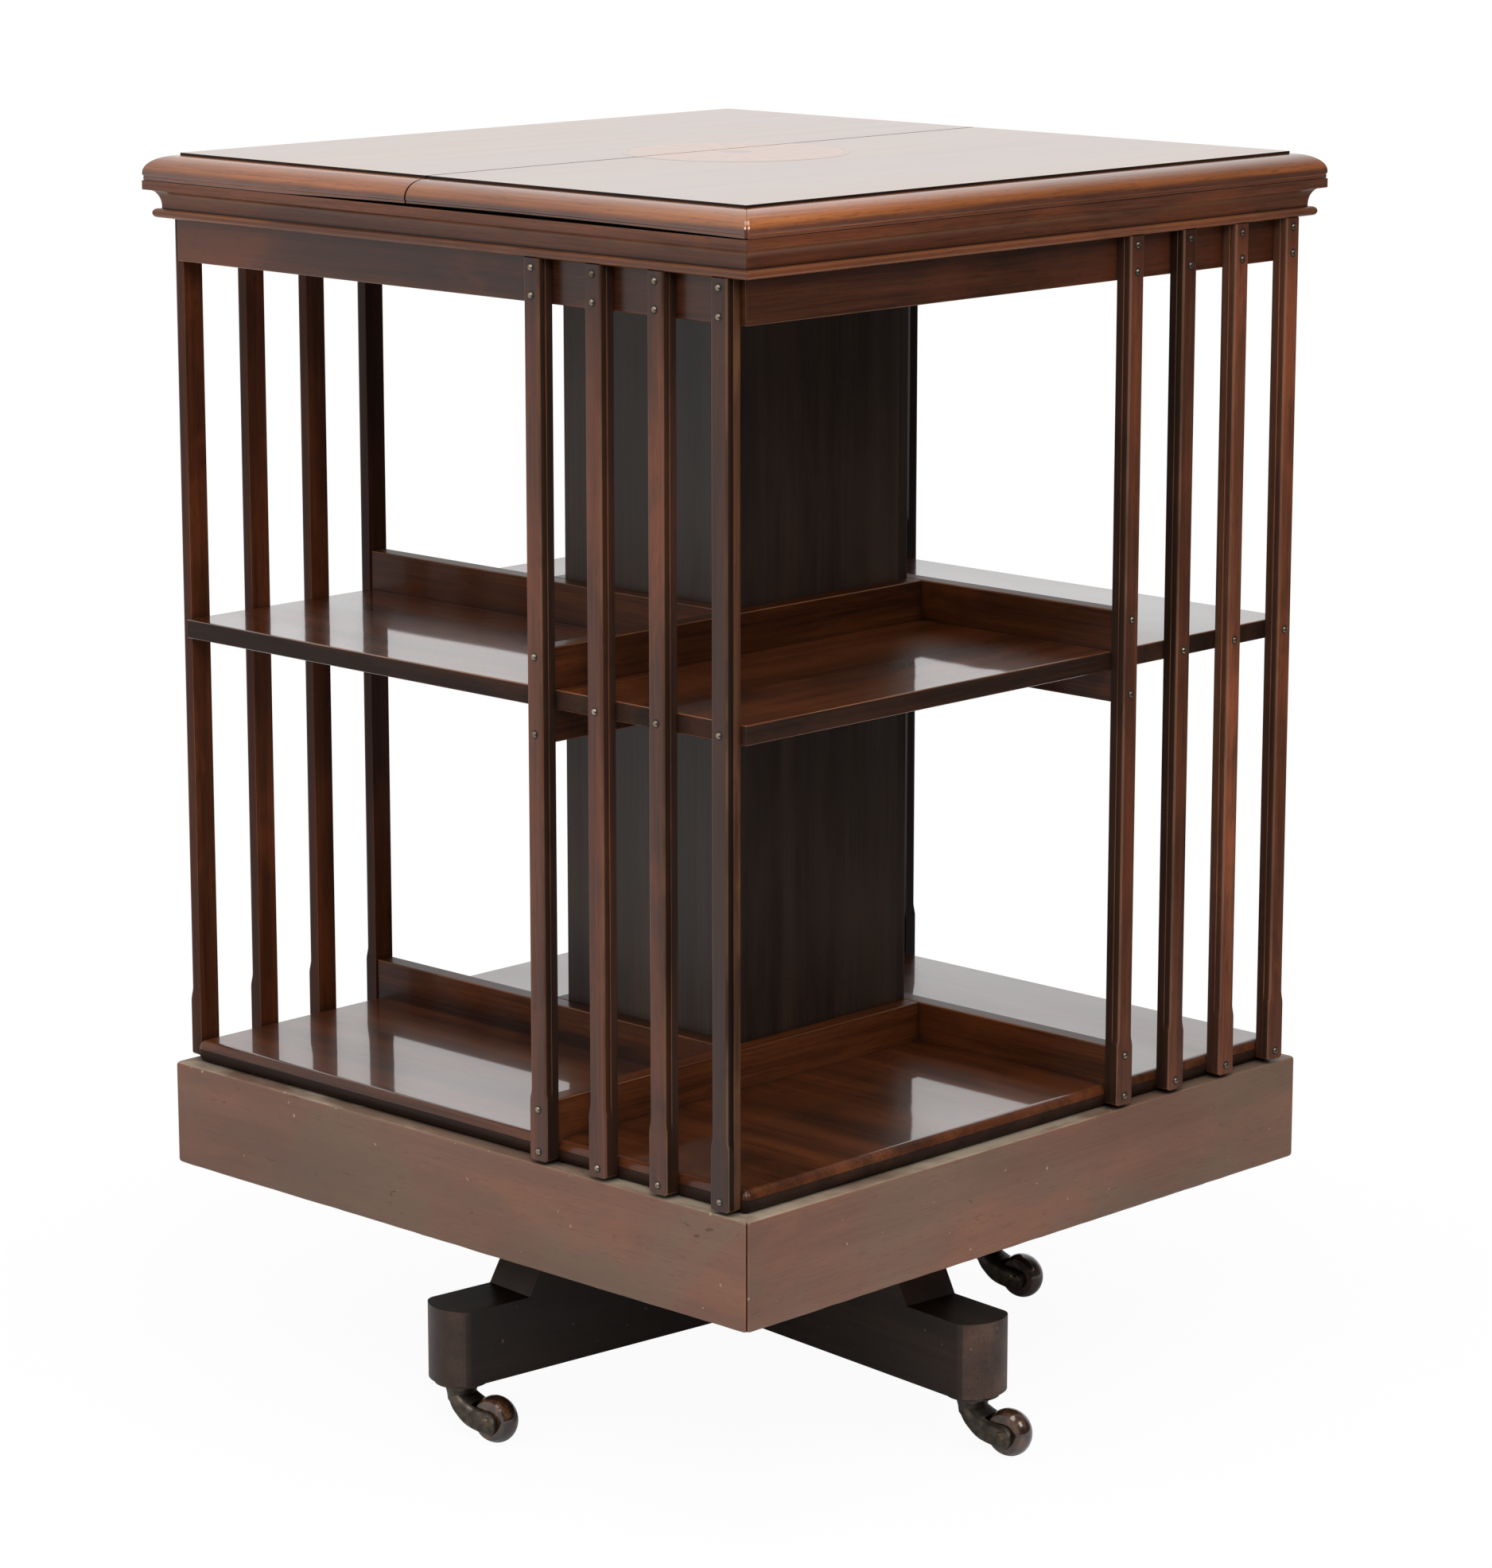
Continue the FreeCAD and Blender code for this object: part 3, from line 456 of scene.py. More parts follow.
PLINTH_WOOD = mahogany(
    "X", "plinth_mahogany", **tones((88, 60, 48), (102, 71, 57), (116, 82, 66), (126, 82, 58)),
    figure_spread=0.3, mottle=0.4, haze=0.5, dust=0.75, wear=0.2, rough=0.5, coat=0.1, scratches=0.5,
)
EDGE_WOOD = mahogany(
    "X", "edging_mahogany", **tones((52, 28, 19), (74, 41, 28), (96, 55, 38), (104, 58, 38)),
    bleached=(srgb(98, 53, 25), srgb(132, 75, 38), srgb(160, 98, 54)), mottle=0.6, wear=0.0, rough=0.4,
    coat=1.0, coat_rough=0.12, coat_ior=1.55, specular=0.12,
)
# Painted highlight: a lighter, glossier copy of the edging wood for the worn mitre facets.
EDGE_CORNER_HIGHLIGHT = mahogany(
    "X", "edging_corner_highlight_mahogany", **tones((104, 62, 36), (128, 80, 48), (150, 98, 62), (150, 98, 62)),
    wear=0.0, coat=1.0, coat_rough=0.07, coat_ior=1.9, waves=0.0, bump=0.0,
)
CORNICE_WOOD = mahogany(
    "X", "cornice_mahogany", **tones((56, 31, 21), (84, 49, 33), (110, 66, 44), (106, 53, 28)), wear=0.3,
    dirt=1.0, dirt_open=0.9, coat=0.35, coat_rough=0.12, specular=0.1,
)
FIELD_WOOD = mahogany(
    "Y", "top_mahogany", **tones((122, 88, 61), (132, 97, 69), (142, 106, 77), (146, 103, 70)),
    mottle=0.2, bump=0.1, wear=0.0, dirt=1.0, rough=0.4, rough_spread=0.04, coat=1.0, coat_rough=0.22,
    specular=0.5, waves=0.06,
)
COLUMN_WOOD = mahogany(
    "Z", "column_mahogany", **tones((32, 24, 20), (45, 35, 29), (58, 45, 36), (62, 43, 33)),
    worn=srgb(84, 66, 52), coat=0.1, specular=0.25,
)
BASE_LOOK = {"wear": 0.12, "rough": 0.45, "coat": 0.1, "specular": 0.2, "scratches": 0.12}
BASE_LOOK["worn"] = srgb(112, 78, 54)
BASE_WOOD = mahogany(
    "X", "base_mahogany", **tones((34, 24, 20), (48, 35, 29), (62, 46, 37), (68, 48, 36)), **BASE_LOOK,
)
# Painted shade: a darker copy of the base wood for the arms' sides and tops, their ends keeping the lighter
# one.
BASE_SIDE = mahogany(
    "X", "base_side_mahogany", **tones((21, 15, 12), (28, 20, 16), (37, 27, 22), (41, 28, 21)),
    **BASE_LOOK,
)
PINE = wood(
    "pine", "Z", **tones((150, 112, 70), (182, 142, 94), (204, 168, 118), (170, 124, 76)),
    worn=srgb(214, 186, 140), coat=0.0, rough=0.7,
)
INLAY = inlay()
CERAMIC = ceramic()
STUD_BRONZE = metal("stud_bronze", (96, 84, 72), (158, 142, 124), 0.34)
STUD_RING_SHADE = metal("stud_ring_shade", (16, 12, 10), (30, 23, 19), 0.7, 0.0)
CASTER_BRONZE = metal("caster_bronze", (58, 52, 46), (84, 76, 66), 0.42, 0.85, 0.15)
BRASS = metal("pivot_brass", (150, 112, 56), (206, 164, 92), 0.3)
IRON = metal("pivot_iron", (40, 37, 35), (76, 71, 67), 0.6, 0.8, 0.8)
STEEL = metal("steel", (110, 106, 100), (168, 164, 158), 0.3)
STEEL_DARK = metal("axle_steel", (58, 50, 42), (112, 96, 78), 0.4)


# ---- mesh helpers ----
pieces_made = 0


def put(name, data):
    """New object in the scene."""
    made = bpy.data.objects.new(name, data)
    bpy.context.scene.collection.objects.link(made)
    return made


def mesh_of(bm, name):
    mesh = bpy.data.meshes.new(name)
    bm.to_mesh(mesh)
    bm.free()
    return mesh


def add_piece(name, bm, material, body="case", nodes=(), place=None, smooth_flats=True, tone_and_light=1.0):
    """Turns a bmesh into a piece that rides on its body and stands for its CAD nodes.  It has one
    material, or a tuple of them by face index.  Its tone darkens or lightens the wood: partly the
    piece's own tone, partly painted light and shade where its place is lit or shaded."""
    global pieces_made
    bmesh.ops.recalc_face_normals(bm, faces=bm.faces)
    mesh = mesh_of(bm, name)
    mesh.shade_smooth()
    mesh.set_sharp_from_angle(angle=SHARP_ANGLE)
    for finish in material if isinstance(material, tuple) else (material,):
        mesh.materials.append(finish)
    piece = put(name, mesh)
    piece.matrix_world = place or Matrix.Identity(4)
    if smooth_flats:
        weighted = piece.modifiers.new("flats", "WEIGHTED_NORMAL")
        weighted.keep_sharp = True
    pieces_made += 1
    piece["grain_seed"] = 3.0 * ((pieces_made * 0.618034) % 1.0)
    piece["tone_and_light"] = tone_and_light
    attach(piece, body)
    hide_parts(*nodes)


def side_turn(index):
    return Matrix.Rotation(radians(90 * index), 4, "Z")


def arc(centre, radius, start, end, steps):
    """(out, up) points on an arc, angles in degrees from the outward direction."""
    angles = [radians(start + (end - start) * step / steps) for step in range(steps + 1)]
    return [(centre[0] + radius * cos(a), centre[1] + radius * sin(a)) for a in angles]


def rectangle(inner, outer, low, high):
    return [(inner, low), (outer, low), (outer, high), (inner, high)]


def rounded(points, radii, steps=3):
    """Closed outline with each corner rounded by its own radius."""
    outline = []
    count = len(points)
    for index, (point, size) in enumerate(zip(points, radii)):
        corner = Vector(point)
        if size <= 0:
            outline.append(tuple(corner))
            continue
        before = (Vector(points[index - 1]) - corner).normalized()
        after = (Vector(points[(index + 1) % count]) - corner).normalized()
        for step in range(steps + 1):
            share = step / steps
            outline.append(tuple(corner + before * size * (1 - share) ** 2 + after * size * share**2))
    return outline


def loft(bm, rings):
    """Skins rings of equal length, each a list of points, and caps the ends."""
    rows = [[bm.verts.new(point) for point in ring] for ring in rings]
    count = len(rows[0])
    for near, far in zip(rows, rows[1:]):
        for index in range(count):
            after = (index + 1) % count
            bm.faces.new((near[index], near[after], far[after], far[index]))
    bm.faces.new(list(reversed(rows[0])))
    bm.faces.new(rows[-1])


def paint(bm, rule):
    """Sets each face's material by the index that the rule gives for it."""
    bm.normal_update()
    for face in bm.faces:
        face.material_index = int(rule(face))


def tidy(bm):
    """Joins corners that fall together and drops the faces that they leave without area."""
    bmesh.ops.remove_doubles(bm, verts=bm.verts, dist=0.004 * MM)
    bmesh.ops.dissolve_degenerate(bm, edges=bm.edges, dist=0.004 * MM)


def mitre_rings(profile, corner, wear, hand, dent):
    """Rings from the start of a rounded upright corner to its mitre, at the end of a bar.  The mitre
    itself sinks by dent, where the joint is worn open."""
    rings = []
    for degrees in (0, 12, 24, 35, 45):
        angle = radians(degrees)
        sunk, gap = (dent, MITRE_GAP) if degrees == 45 else (0.0, 0.0)
        ring = []
        for out, up in profile:
            x = out - corner * (1 - sin(angle) ** wear) - sunk - gap
            y = out - corner * (1 - cos(angle) ** wear) - sunk
            ring.append((hand * x, -y, up))
        rings.append(ring)
    return rings


def run(bm, profile, low, high, step, corner, wear=1.0, mitred=(True, True), dent=0.0):
    """Bar along x between low and high under a closed (out, up) profile.  A mitred end is cut at 45
    degrees, its upright corner rounded by corner."""
    starts = mitre_rings(profile, corner, wear, -1, dent)[::-1] if mitred[0] else []
    ends = mitre_rings(profile, corner, wear, 1, dent) if mitred[1] else []
    first = low + step if mitred[0] else low
    last = high - step if mitred[1] else high
    middle = []
    for station in spaced(first, last, step):
        ring = []
        for out, up in profile:
            least = corner - out if starts else low
            most = out - corner if ends else high
            ring.append((max(least, min(most, station)), -out, up))
        middle.append(ring)
    loft(bm, [*starts, *middle, *ends])
    tidy(bm)


def spaced(low, high, step):
    """Even places from low to high, about a step apart."""
    count = max(1, round((high - low) / step))
    return [low + (high - low) * index / count for index in range(count + 1)]


BEVEL = {"segments": 3, "profile": 0.5, "affect": "EDGES", "clamp_overlap": True}


def bevelled_box(bm, low, high, radius):
    low, high = Vector(low), Vector(high)
    scale = Matrix.Diagonal((*(high - low), 1))
    cube = bmesh.ops.create_cube(bm, size=1, matrix=Matrix.Translation((low + high) / 2) @ scale)
    edges = {edge for vert in cube["verts"] for edge in vert.link_edges}
    bmesh.ops.bevel(bm, geom=list(edges), offset=radius, **BEVEL)


def lathe(bm, profile, sides, place=None):
    """Solid of revolution about Z under (radius, z) points, its ends on the axis."""
    place = place or Matrix.Identity(4)
    rows = []
    for radius, z in profile:
        if radius < 1e-9:
            rows.append([bm.verts.new(place @ Vector((0, 0, z)))])
            continue
        turns = [2 * pi * index / sides for index in range(sides)]
        ring = [place @ Vector((radius * cos(a), radius * sin(a), z)) for a in turns]
        rows.append([bm.verts.new(point) for point in ring])
    for near, far in zip(rows, rows[1:]):
        for index in range(sides):
            after = (index + 1) % sides
            quad = ((near, index), (near, after), (far, after), (far, index))
            corners = list(dict.fromkeys(row[step % len(row)] for row, step in quad))
            if len(corners) > 2:
                bm.faces.new(corners)


def weathered(bm, depth, scale, seed):
    """Rubs and dents the arrises: points off the flats sink by up to depth."""
    bm.normal_update()
    for vert in bm.verts:
        flat = max(abs(part) for part in vert.normal)
        if flat > 0.985:
            continue
        rub = noise.noise(vert.co * scale + Vector((seed, seed * 2, 0))) * 0.5 + 0.35
        vert.co -= vert.normal * depth * max(0.0, min(1.0, rub))


# ---- case: boards ----
def board(name, node_name, material, radius, tone_and_light=1.0):
    """A square-edged board the size of its CAD node.  A second material goes on its upright faces."""
    bm = bmesh.new()
    low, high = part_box(node_name)
    bevelled_box(bm, low, high, radius)
    if isinstance(material, tuple):
        # Painted shade: a shelf's upright faces take its second, darker material.
        paint(bm, lambda face: abs(face.normal.z) < 0.5)
    add_piece(name, bm, material, nodes=(node_name,), tone_and_light=tone_and_light)


# Painted shade: the dividers and book stops, deep in the bays, are darkened.
DIVIDER_SHADE = 0.75
# Tones of the rails by side, partly painted light and shade, such as the right frieze darkened as in the
# cornice's shadow.
RAIL_TONE_AND_LIGHT = {
    "plinth": (0.95, 1.08, 0.95, 1.0),
    "frieze": (1.1, 0.65, 1.0, 0.9),
    "cornice": (1.05, 1.45, 1.1, 1.0),
}


def add_rail(kind, index, side, bm, finish):
    """A mitred length on one side of the case, in place of the CAD node of its kind and side."""
    nodes, place, tone_and_light = (f"{kind}_{side}",), side_turn(index), RAIL_TONE_AND_LIGHT[kind][index]
    add_piece(f"{side}_{kind}", bm, finish, nodes=nodes, place=place, tone_and_light=tone_and_light)


def plinth(index, side):
    bm = bmesh.new()
    corners = rectangle(PLINTH - PLINTH_THICK, PLINTH, Z_PLINTH, Z_BOTTOM)
    profile = rounded(corners, PLINTH_ROUNDS, 4)
    run(bm, profile, -PLINTH, PLINTH, 7 * MM, PLINTH_CORNER, dent=PLINTH_MITRE_DENT)
    weathered(bm, PLINTH_WEAR, 90, 3.0 * index)
    add_rail("plinth", index, side, bm, PLINTH_WOOD)


def frieze(index, side):
    bm = bmesh.new()
    corners = rectangle(CASE - FRIEZE_THICK, CASE, Z_FRIEZE, Z_CASE_TOP)
    run(bm, rounded(corners, FRIEZE_ROUNDS), -CASE, CASE, 20 * MM, FRIEZE_CORNER)
    add_rail("frieze", index, side, bm, BOARD_X)


def bottom_board():
    """Bullnosed all round, its corners rounded by the same nosing."""
    bm = bmesh.new()
    low, high = (corner.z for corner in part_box("bottom_board"))
    middle, rise = (low + high) / 2, (high - low - NOSING_SHORT) / 2
    levels = []
    for degrees in range(-90, 91, 15):
        angle = radians(degrees)
        inset = NOSING * (1 - cos(angle) ** NOSING_FULLNESS)
        levels.append((inset, middle + rise * sin(angle)))
    # the first and last ring lie on the board's faces
    levels[0] = (levels[0][0], low)
    levels[-1] = (levels[-1][0], high)
    rings = []
    for inset, z in levels:
        ring = []
        reach = NOSING - inset + LEAST_CORNER
        for quarter in range(4):
            centre = Vector((1, 1, 0)) * (CASE - NOSING - LEAST_CORNER)
            centre.rotate(Matrix.Rotation(radians(90 * quarter), 3, "Z"))
            for step in range(7):
                angle = radians(90 * quarter + 15 * step)
                ring.append(centre + Vector((cos(angle) * reach, sin(angle) * reach, z)))
        rings.append(ring)
    loft(bm, rings)
    # Painted shade: the nosing's lower, downward faces take the darker shelf-edge wood.
    paint(bm, lambda face: (face.normal.z < 0.9) + (face.normal.z < 0.12))
    add_piece("bottom_shelf", bm, (SHELF_X, NOSING_X, EDGE_X), nodes=("bottom_board",))


for number, side in enumerate(SIDES):
    plinth(number, side)
    frieze(number, side)
    along_x = number % 2 == 0
    finish = (SHELF_X, EDGE_X) if along_x else (SHELF_Y, EDGE_Y)
    board(side + "_shelf", "shelf_" + side, finish, SHELF_ROUND)
    across = DIVIDER_Y if along_x else DIVIDER_X
    board(side + "_divider", "divider_" + side, across, DIVIDER_ROUND, tone_and_light=DIVIDER_SHADE)
    board(side + "_book_stop", "book_stop_" + side, across, DIVIDER_ROUND, tone_and_light=DIVIDER_SHADE)
    panel = "column_panel_" + side
    board(side + "_column_panel", panel, COLUMN_WOOD, PANEL_ROUND)
bottom_board()
board("ceiling", "ceiling_board", BOARD_X, CEILING_ROUND)


# ---- cornice ----
def cornice(index, side):
    """Band, cove and bead under the top, mitred at the corners."""
    bm = bmesh.new()
    z_band = Z_BAND - BAND_HEIGHT
    z_cove = z_band - COVE_HEIGHT
    z_neck = z_cove - BEAD_NECK
    cove_out = BAND - BAND_STEP
    cove_in = cove_out - COVE_DEPTH
    bead = CASE + BEAD_PROJECTION - BEAD_RADIUS
    band = rounded(rectangle(CASE, BAND, Z_BAND, z_band), (0, BAND_ROUND, BAND_ROUND, 0))
    profile = [(CASE, Z_BEAD), (CASE, Z_BAND), *band[1:-1]]
    for step in range(9):
        angle = radians(90 * step / 8)
        profile.append((cove_out - COVE_DEPTH * sin(angle), z_cove + COVE_HEIGHT * cos(angle)))
    profile.append((cove_in, z_neck))
    profile += arc((bead, z_neck - BEAD_RADIUS), BEAD_RADIUS, 90, -90, 10)
    run(bm, profile, -BAND, BAND, 25 * MM, CORNICE_MITRE_ROUND)
    add_rail("cornice", index, side, bm, CORNICE_WOOD)


for number, side in enumerate(SIDES):
    cornice(number, side)


# ---- top ----
def edging_profile():
    """Thumb moulding round the top: an eased foot, a full nosing and a quirk."""
    field = TOP - THUMB_WIDTH
    foot = TOP - TOP_FOOT_STEP
    z_foot = Z_CASE_TOP - TOP_SEAT
    z_thumb = Z_TOP - THUMB_QUIRK
    z_nose = z_thumb - THUMB_DROP
    z_groove = z_foot + TOP_GROOVE
    groove, arris = TOP_GROOVE_DEPTH, TOP_FOOT_ARRIS
    back, down = THUMB_UNDERCUT
    profile = [(field, z_foot), (foot - arris, z_foot), (foot - 0.3 * arris, z_foot + 0.3 * arris)]
    profile += [(foot, z_foot + arris), (foot, z_groove - groove), (foot - groove, z_groove)]
    profile += [(foot, z_groove + groove), (TOP - back, z_nose - down)]
    for step in range(17):
        angle = radians(90 * step / 16)
        out, up = cos(angle) ** THUMB_FULLNESS, sin(angle) ** THUMB_FULLNESS
        profile.append((field + THUMB_WIDTH * out, z_nose + THUMB_DROP * up))
    return profile


def cupping(x, up):
    """Lift of the edging's foot along the front, where the boards have cupped."""
    z_foot, z_nose = Z_CASE_TOP - TOP_SEAT, Z_TOP - THUMB_QUIRK - THUMB_DROP
    if x < TOP_CUPPING_START or up > z_nose:
        return 0.0
    share = (x - TOP_CUPPING_START) / (TOP_CUPPING_END - TOP_CUPPING_START)
    return TOP_CUPPING * sin(pi * share) ** 0.8 * (z_nose - up) / (z_nose - z_foot)


def edging(name, index, low, high, tone_and_light=1.0):
    """One straight length of the moulding on a side, between two places along it."""
    bm = bmesh.new()
    mitred = (low == -TOP, high == TOP)
    run(bm, edging_profile(), low, high, 12 * MM, TOP_MITRE_ROUND, TOP_MITRE_WEAR, mitred)
    if index == 0:
        for vert in bm.verts:
            vert.co.z += cupping(vert.co.x, vert.co.z)
    # Painted highlight: faces turned out at 45 degrees, the mitre facets, take the lighter corner wood.
    paint(bm, lambda face: face.normal.y < -0.3 and abs(abs(face.normal.x) + face.normal.y) < 0.1)
    finish = (EDGE_WOOD, EDGE_CORNER_HIGHLIGHT)
    add_piece(name + "_top_edging", bm, finish, place=side_turn(index), tone_and_light=tone_and_light)


def add_top():
    field = TOP - THUMB_WIDTH
    left, right = TOP_JOINT[0] - TOP_JOINT_OPENING, TOP_JOINT[1] + TOP_JOINT_OPENING
    for name, x0, x1 in (("left", -field, left), ("right", right, field)):
        bm = bmesh.new()
        bevelled_box(bm, (x0, -field, Z_CASE_TOP), (x1, field, Z_TOP - INLAY_PROUD), FIELD_ARRIS)
        # Painted shade: the field's sides and underside take the darker wood.
        paint(bm, lambda face: face.normal.z < 0.8)
        add_piece(name + "_top_field", bm, (FIELD_WOOD, DARK_SIDE), nodes=("top_" + name,))
    edging("left_front", 0, -TOP, left)
    # Tones of the right-hand lengths: partly painted light and shade.
    edging("right_front", 0, right, TOP, 0.84)
    edging("right", 1, -TOP, TOP, 1.08)
    edging("right_back", 2, -TOP, -right)
    edging("left_back", 2, -left, TOP)
    edging("left", 3, -TOP, TOP)
    bm = bmesh.new()
    for x0, x1 in ((-INLAY_RADIUS, left), (right, INLAY_RADIUS)):
        places = [x0 + (x1 - x0) * (1 - cos(pi * step / 48)) / 2 for step in range(49)]
        far = [(x, sqrt(max(INLAY_RADIUS**2 - x**2, 0))) for x in places]
        outline = far + [(x, -y) for x, y in reversed(far)]
        loft(bm, [[(x, y, z) for x, y in outline] for z in (Z_TOP - INLAY_THICK, Z_TOP)])
    tidy(bm)
    add_piece("fan_inlay_disc", bm, INLAY, nodes=("patera_inlay",))


add_top()


# ---- slats and studs ----
def slat_centres():
    first = SLAT_LOW.x + SLAT_WIDTH / 2
    pitch = (SLAT_HIGH.x - SLAT_LOW.x - SLAT_WIDTH) / (SLAT_COUNT - 1)
    return [first + pitch * index for index in range(SLAT_COUNT)]


def slat_half_section(moulded, toe):
    """Points from the outer face round one arris to the back, as (across, depth): the moulded edge is
    rounded over down to a narrow ledge, the foot only eased."""
    half = SLAT_WIDTH / 2 - toe
    deep = SLAT_HIGH.y - SLAT_LOW.y
    across, down = SLAT_ROUND
    section = []
    for step in range(8):
        angle = radians(90 * step / 7)
        shaped = (half - SLAT_LEDGE - across * (1 - sin(angle)), down * (1 - cos(angle)))
        eased = (half - SLAT_FOOT_ROUND * (1 - sin(angle)), SLAT_FOOT_ROUND * (1 - cos(angle)))
        section.append([a + (b - a) * moulded for a, b in zip(eased, shaped)])
    inner = half - SLAT_LEDGE * moulded
    section += [(inner, SLAT_LEDGE_DEPTH), (inner + (half - inner) * 0.8, SLAT_LEDGE_DEPTH)]
    section += [(half, SLAT_LEDGE_DEPTH + SLAT_ARRIS), (half, deep - SLAT_ARRIS), (half - SLAT_ARRIS, deep)]
    return section


# Materials of the narrow faces before and behind the ledge, where they aren't both POST_SIDE.
SLAT_SIDES = {"left": (SHADED_SIDE, SHADED_SIDE), "front_slat_4": (POST_SIDE, RUBBED_SIDE)}


def slat(name, x, side, index, tone_and_light):
    bm = bmesh.new()
    foot, head = SLAT_LOW.z, SLAT_HIGH.z
    stop = foot + SLAT_PLAIN
    levels = [(foot, 0, SLAT_TOE), (foot + 0.5 * SLAT_TOE, 0, 0.35 * SLAT_TOE), (foot + SLAT_TOE, 0, 0)]
    shares = [step / 6 for step in range(7)]
    levels += [(stop + SLAT_TONGUE * share, share**2 * (3 - 2 * share), 0) for share in shares]
    levels += [(z, 1, 0) for z in spaced(stop + SLAT_TONGUE * 1.3, head, 60 * MM)]
    rings = []
    for z, moulded, toe in levels:
        half = slat_half_section(moulded, toe)
        ring = [(x + across, SLAT_LOW.y + deep, z) for across, deep in half]
        ring += [(x - across, SLAT_LOW.y + deep, z) for across, deep in reversed(half)]
        rings.append(ring)
    loft(bm, rings)
    tidy(bm)
    ledge = SLAT_LOW.y + SLAT_LEDGE_DEPTH
    # Painted shade: the slat's narrow faces take darker wood.
    paint(bm, lambda face: abs(face.normal.x) > 0.9 and 1 + (face.calc_center_median().y > ledge))
    near, far = SLAT_SIDES.get(name) or SLAT_SIDES.get(side, (POST_SIDE, POST_SIDE))
    nodes, place = ("slats_" + side,), side_turn(index)
    add_piece(name, bm, (POST_Z, near, far), nodes=nodes, place=place, tone_and_light=tone_and_light)


def stud_places():
    """(x, z) of the studs on a side."""
    low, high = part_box("divider_front"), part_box("book_stop_front")
    places = []
    for index, x in enumerate(slat_centres()):
        levels = [Z_BEAD - STUD_MARGIN, Z_FRIEZE + STUD_MARGIN, SLAT_LOW.z + STUD_MARGIN]
        if index == 0:
            levels += [low[1].z - STUD_MARGIN, low[0].z + STUD_MARGIN, high[1].z - STUD_MARGIN]
        else:
            levels.append((SHELF_LOW + SHELF_HIGH) / 2)
        places += [(x, z) for z in levels]
    return places


def studs(index, side):
    """Dome heads, each in a dark ring of painted shade."""
    bm = bmesh.new()
    ring, edge = STUD_RING, STUD_RADIUS
    profile = [(0, -STUD_SUNK), (edge, -STUD_SUNK), (edge, ring / 2), (edge - ring, ring), (STUD_DOME, ring)]
    for step in range(1, 8):
        angle = radians(90 * step / 7)
        profile.append((STUD_DOME * cos(angle), ring + (STUD_HEIGHT - ring) * sin(angle)))
    upright = Matrix.Rotation(radians(90), 4, "X")
    for x, z in stud_places():
        place = Matrix.Translation((x, SLAT_LOW.y, z)) @ upright
        lathe(bm, profile, STUD_SIDES, place)
    # Painted shade: the ring's faces next to the slat take the near-black metal.
    paint(bm, lambda face: all(SLAT_LOW.y - vert.co.y < 1.5 * ring for vert in face.verts))
    finish = (STUD_BRONZE, STUD_RING_SHADE)
    add_piece(side + "_studs", bm, finish, nodes=("slat_studs",), place=side_turn(index))


# Tone of each slat by side: partly its own, partly painted light and shade, such as the left slats lightened
# as if lit from the right.
SLAT_TONE_AND_LIGHT = {
    "front": (1.15, 1.05, 1.4, 0.6),
    "right": (1.2, 0.95, 2.4, 2.0),
    "back": (0.5, 0.8, 1.0, 1.2),
    "left": (1.1, 1.2, 1.5, 1.9),
}
for number, side in enumerate(SIDES):
    for order, (centre, slat_tone_and_light) in enumerate(zip(slat_centres(), SLAT_TONE_AND_LIGHT[side])):
        slat(f"{side}_slat_{order + 1}", centre, side, number, slat_tone_and_light)
    studs(number, side)


# ---- base cross ----
def base_arm(name, node_name, angle, notch_above, tone_and_light):
    """Foot ends bowed in plan, shoulders sloping up to the raised middle, half-lapped."""
    shoulder = ARM_REACH - FOOT_LENGTH
    hub = shoulder - SHOULDER_RUN
    z_foot = ARM_LOW + FOOT_HEIGHT
    half = ARM_WIDTH / 2
    middle = (ARM_LOW + ARM_HIGH) / 2
    lower = [(-1, ARM_LOW), (1, ARM_LOW)]
    upper = [(shoulder, z_foot), (hub, ARM_HIGH), (-hub, ARM_HIGH), (-shoulder, z_foot)]
    notch = [(half, ARM_HIGH), (half, middle), (-half, middle), (-half, ARM_HIGH)]
    if notch_above:
        upper[2:2] = notch
    else:
        lower[1:1] = [(-half, ARM_LOW), (-half, middle), (half, middle), (half, ARM_LOW)]
    bow = (half**2 + ARM_BOW**2) / (2 * ARM_BOW)

    def tip(y):
        reach = ARM_REACH + ARM_BOW - bow + sqrt(bow**2 - y**2)
        past = abs(y) - (half - ARM_EDGE)
        return reach - (ARM_EDGE - sqrt(max(ARM_EDGE**2 - past**2, 0)) if past > 0 else 0)

    across = [-half + ARM_EDGE * (1 - cos(radians(a))) for a in (0, 20, 40, 60, 80)]
    across += spaced(-half + ARM_EDGE, half - ARM_EDGE, 3 * MM)
    across += [-y for y in reversed(across[:5])]
    rings = []
    for y in across:
        outline = [(tip(y) * side if abs(side) == 1 else side, z) for side, z in lower]
        outline += [(tip(y), z_foot), *upper, (-tip(y), z_foot)]
        rings.append([(x, y, z) for x, z in outline])
    bm = bmesh.new()
    loft(bm, rings)
    tidy(bm)
    bm.normal_update()
    bmesh.ops.recalc_face_normals(bm, faces=bm.faces)
    sharp = [edge for edge in bm.edges if edge.is_manifold and edge.calc_face_angle() > radians(24)]
    bmesh.ops.bevel(bm, geom=sharp, offset=ARM_ARRIS, **BEVEL)
    tidy(bm)
    # Painted shade: sides, tops and slopes take the darker copy, the foot ends the lighter one.
    paint(bm, lambda face: abs(face.normal.x) < 0.6 or abs(face.normal.z) > 0.3)
    place = Matrix.Rotation(angle, 4, "Z")
    add_piece(name, bm, (BASE_WOOD, BASE_SIDE), "base", (node_name,), place, tone_and_light=tone_and_light)


stem = JOINTS["caster_swivel_right"]["pos_m"]
BASE_TURN = atan2(stem[1], stem[0])
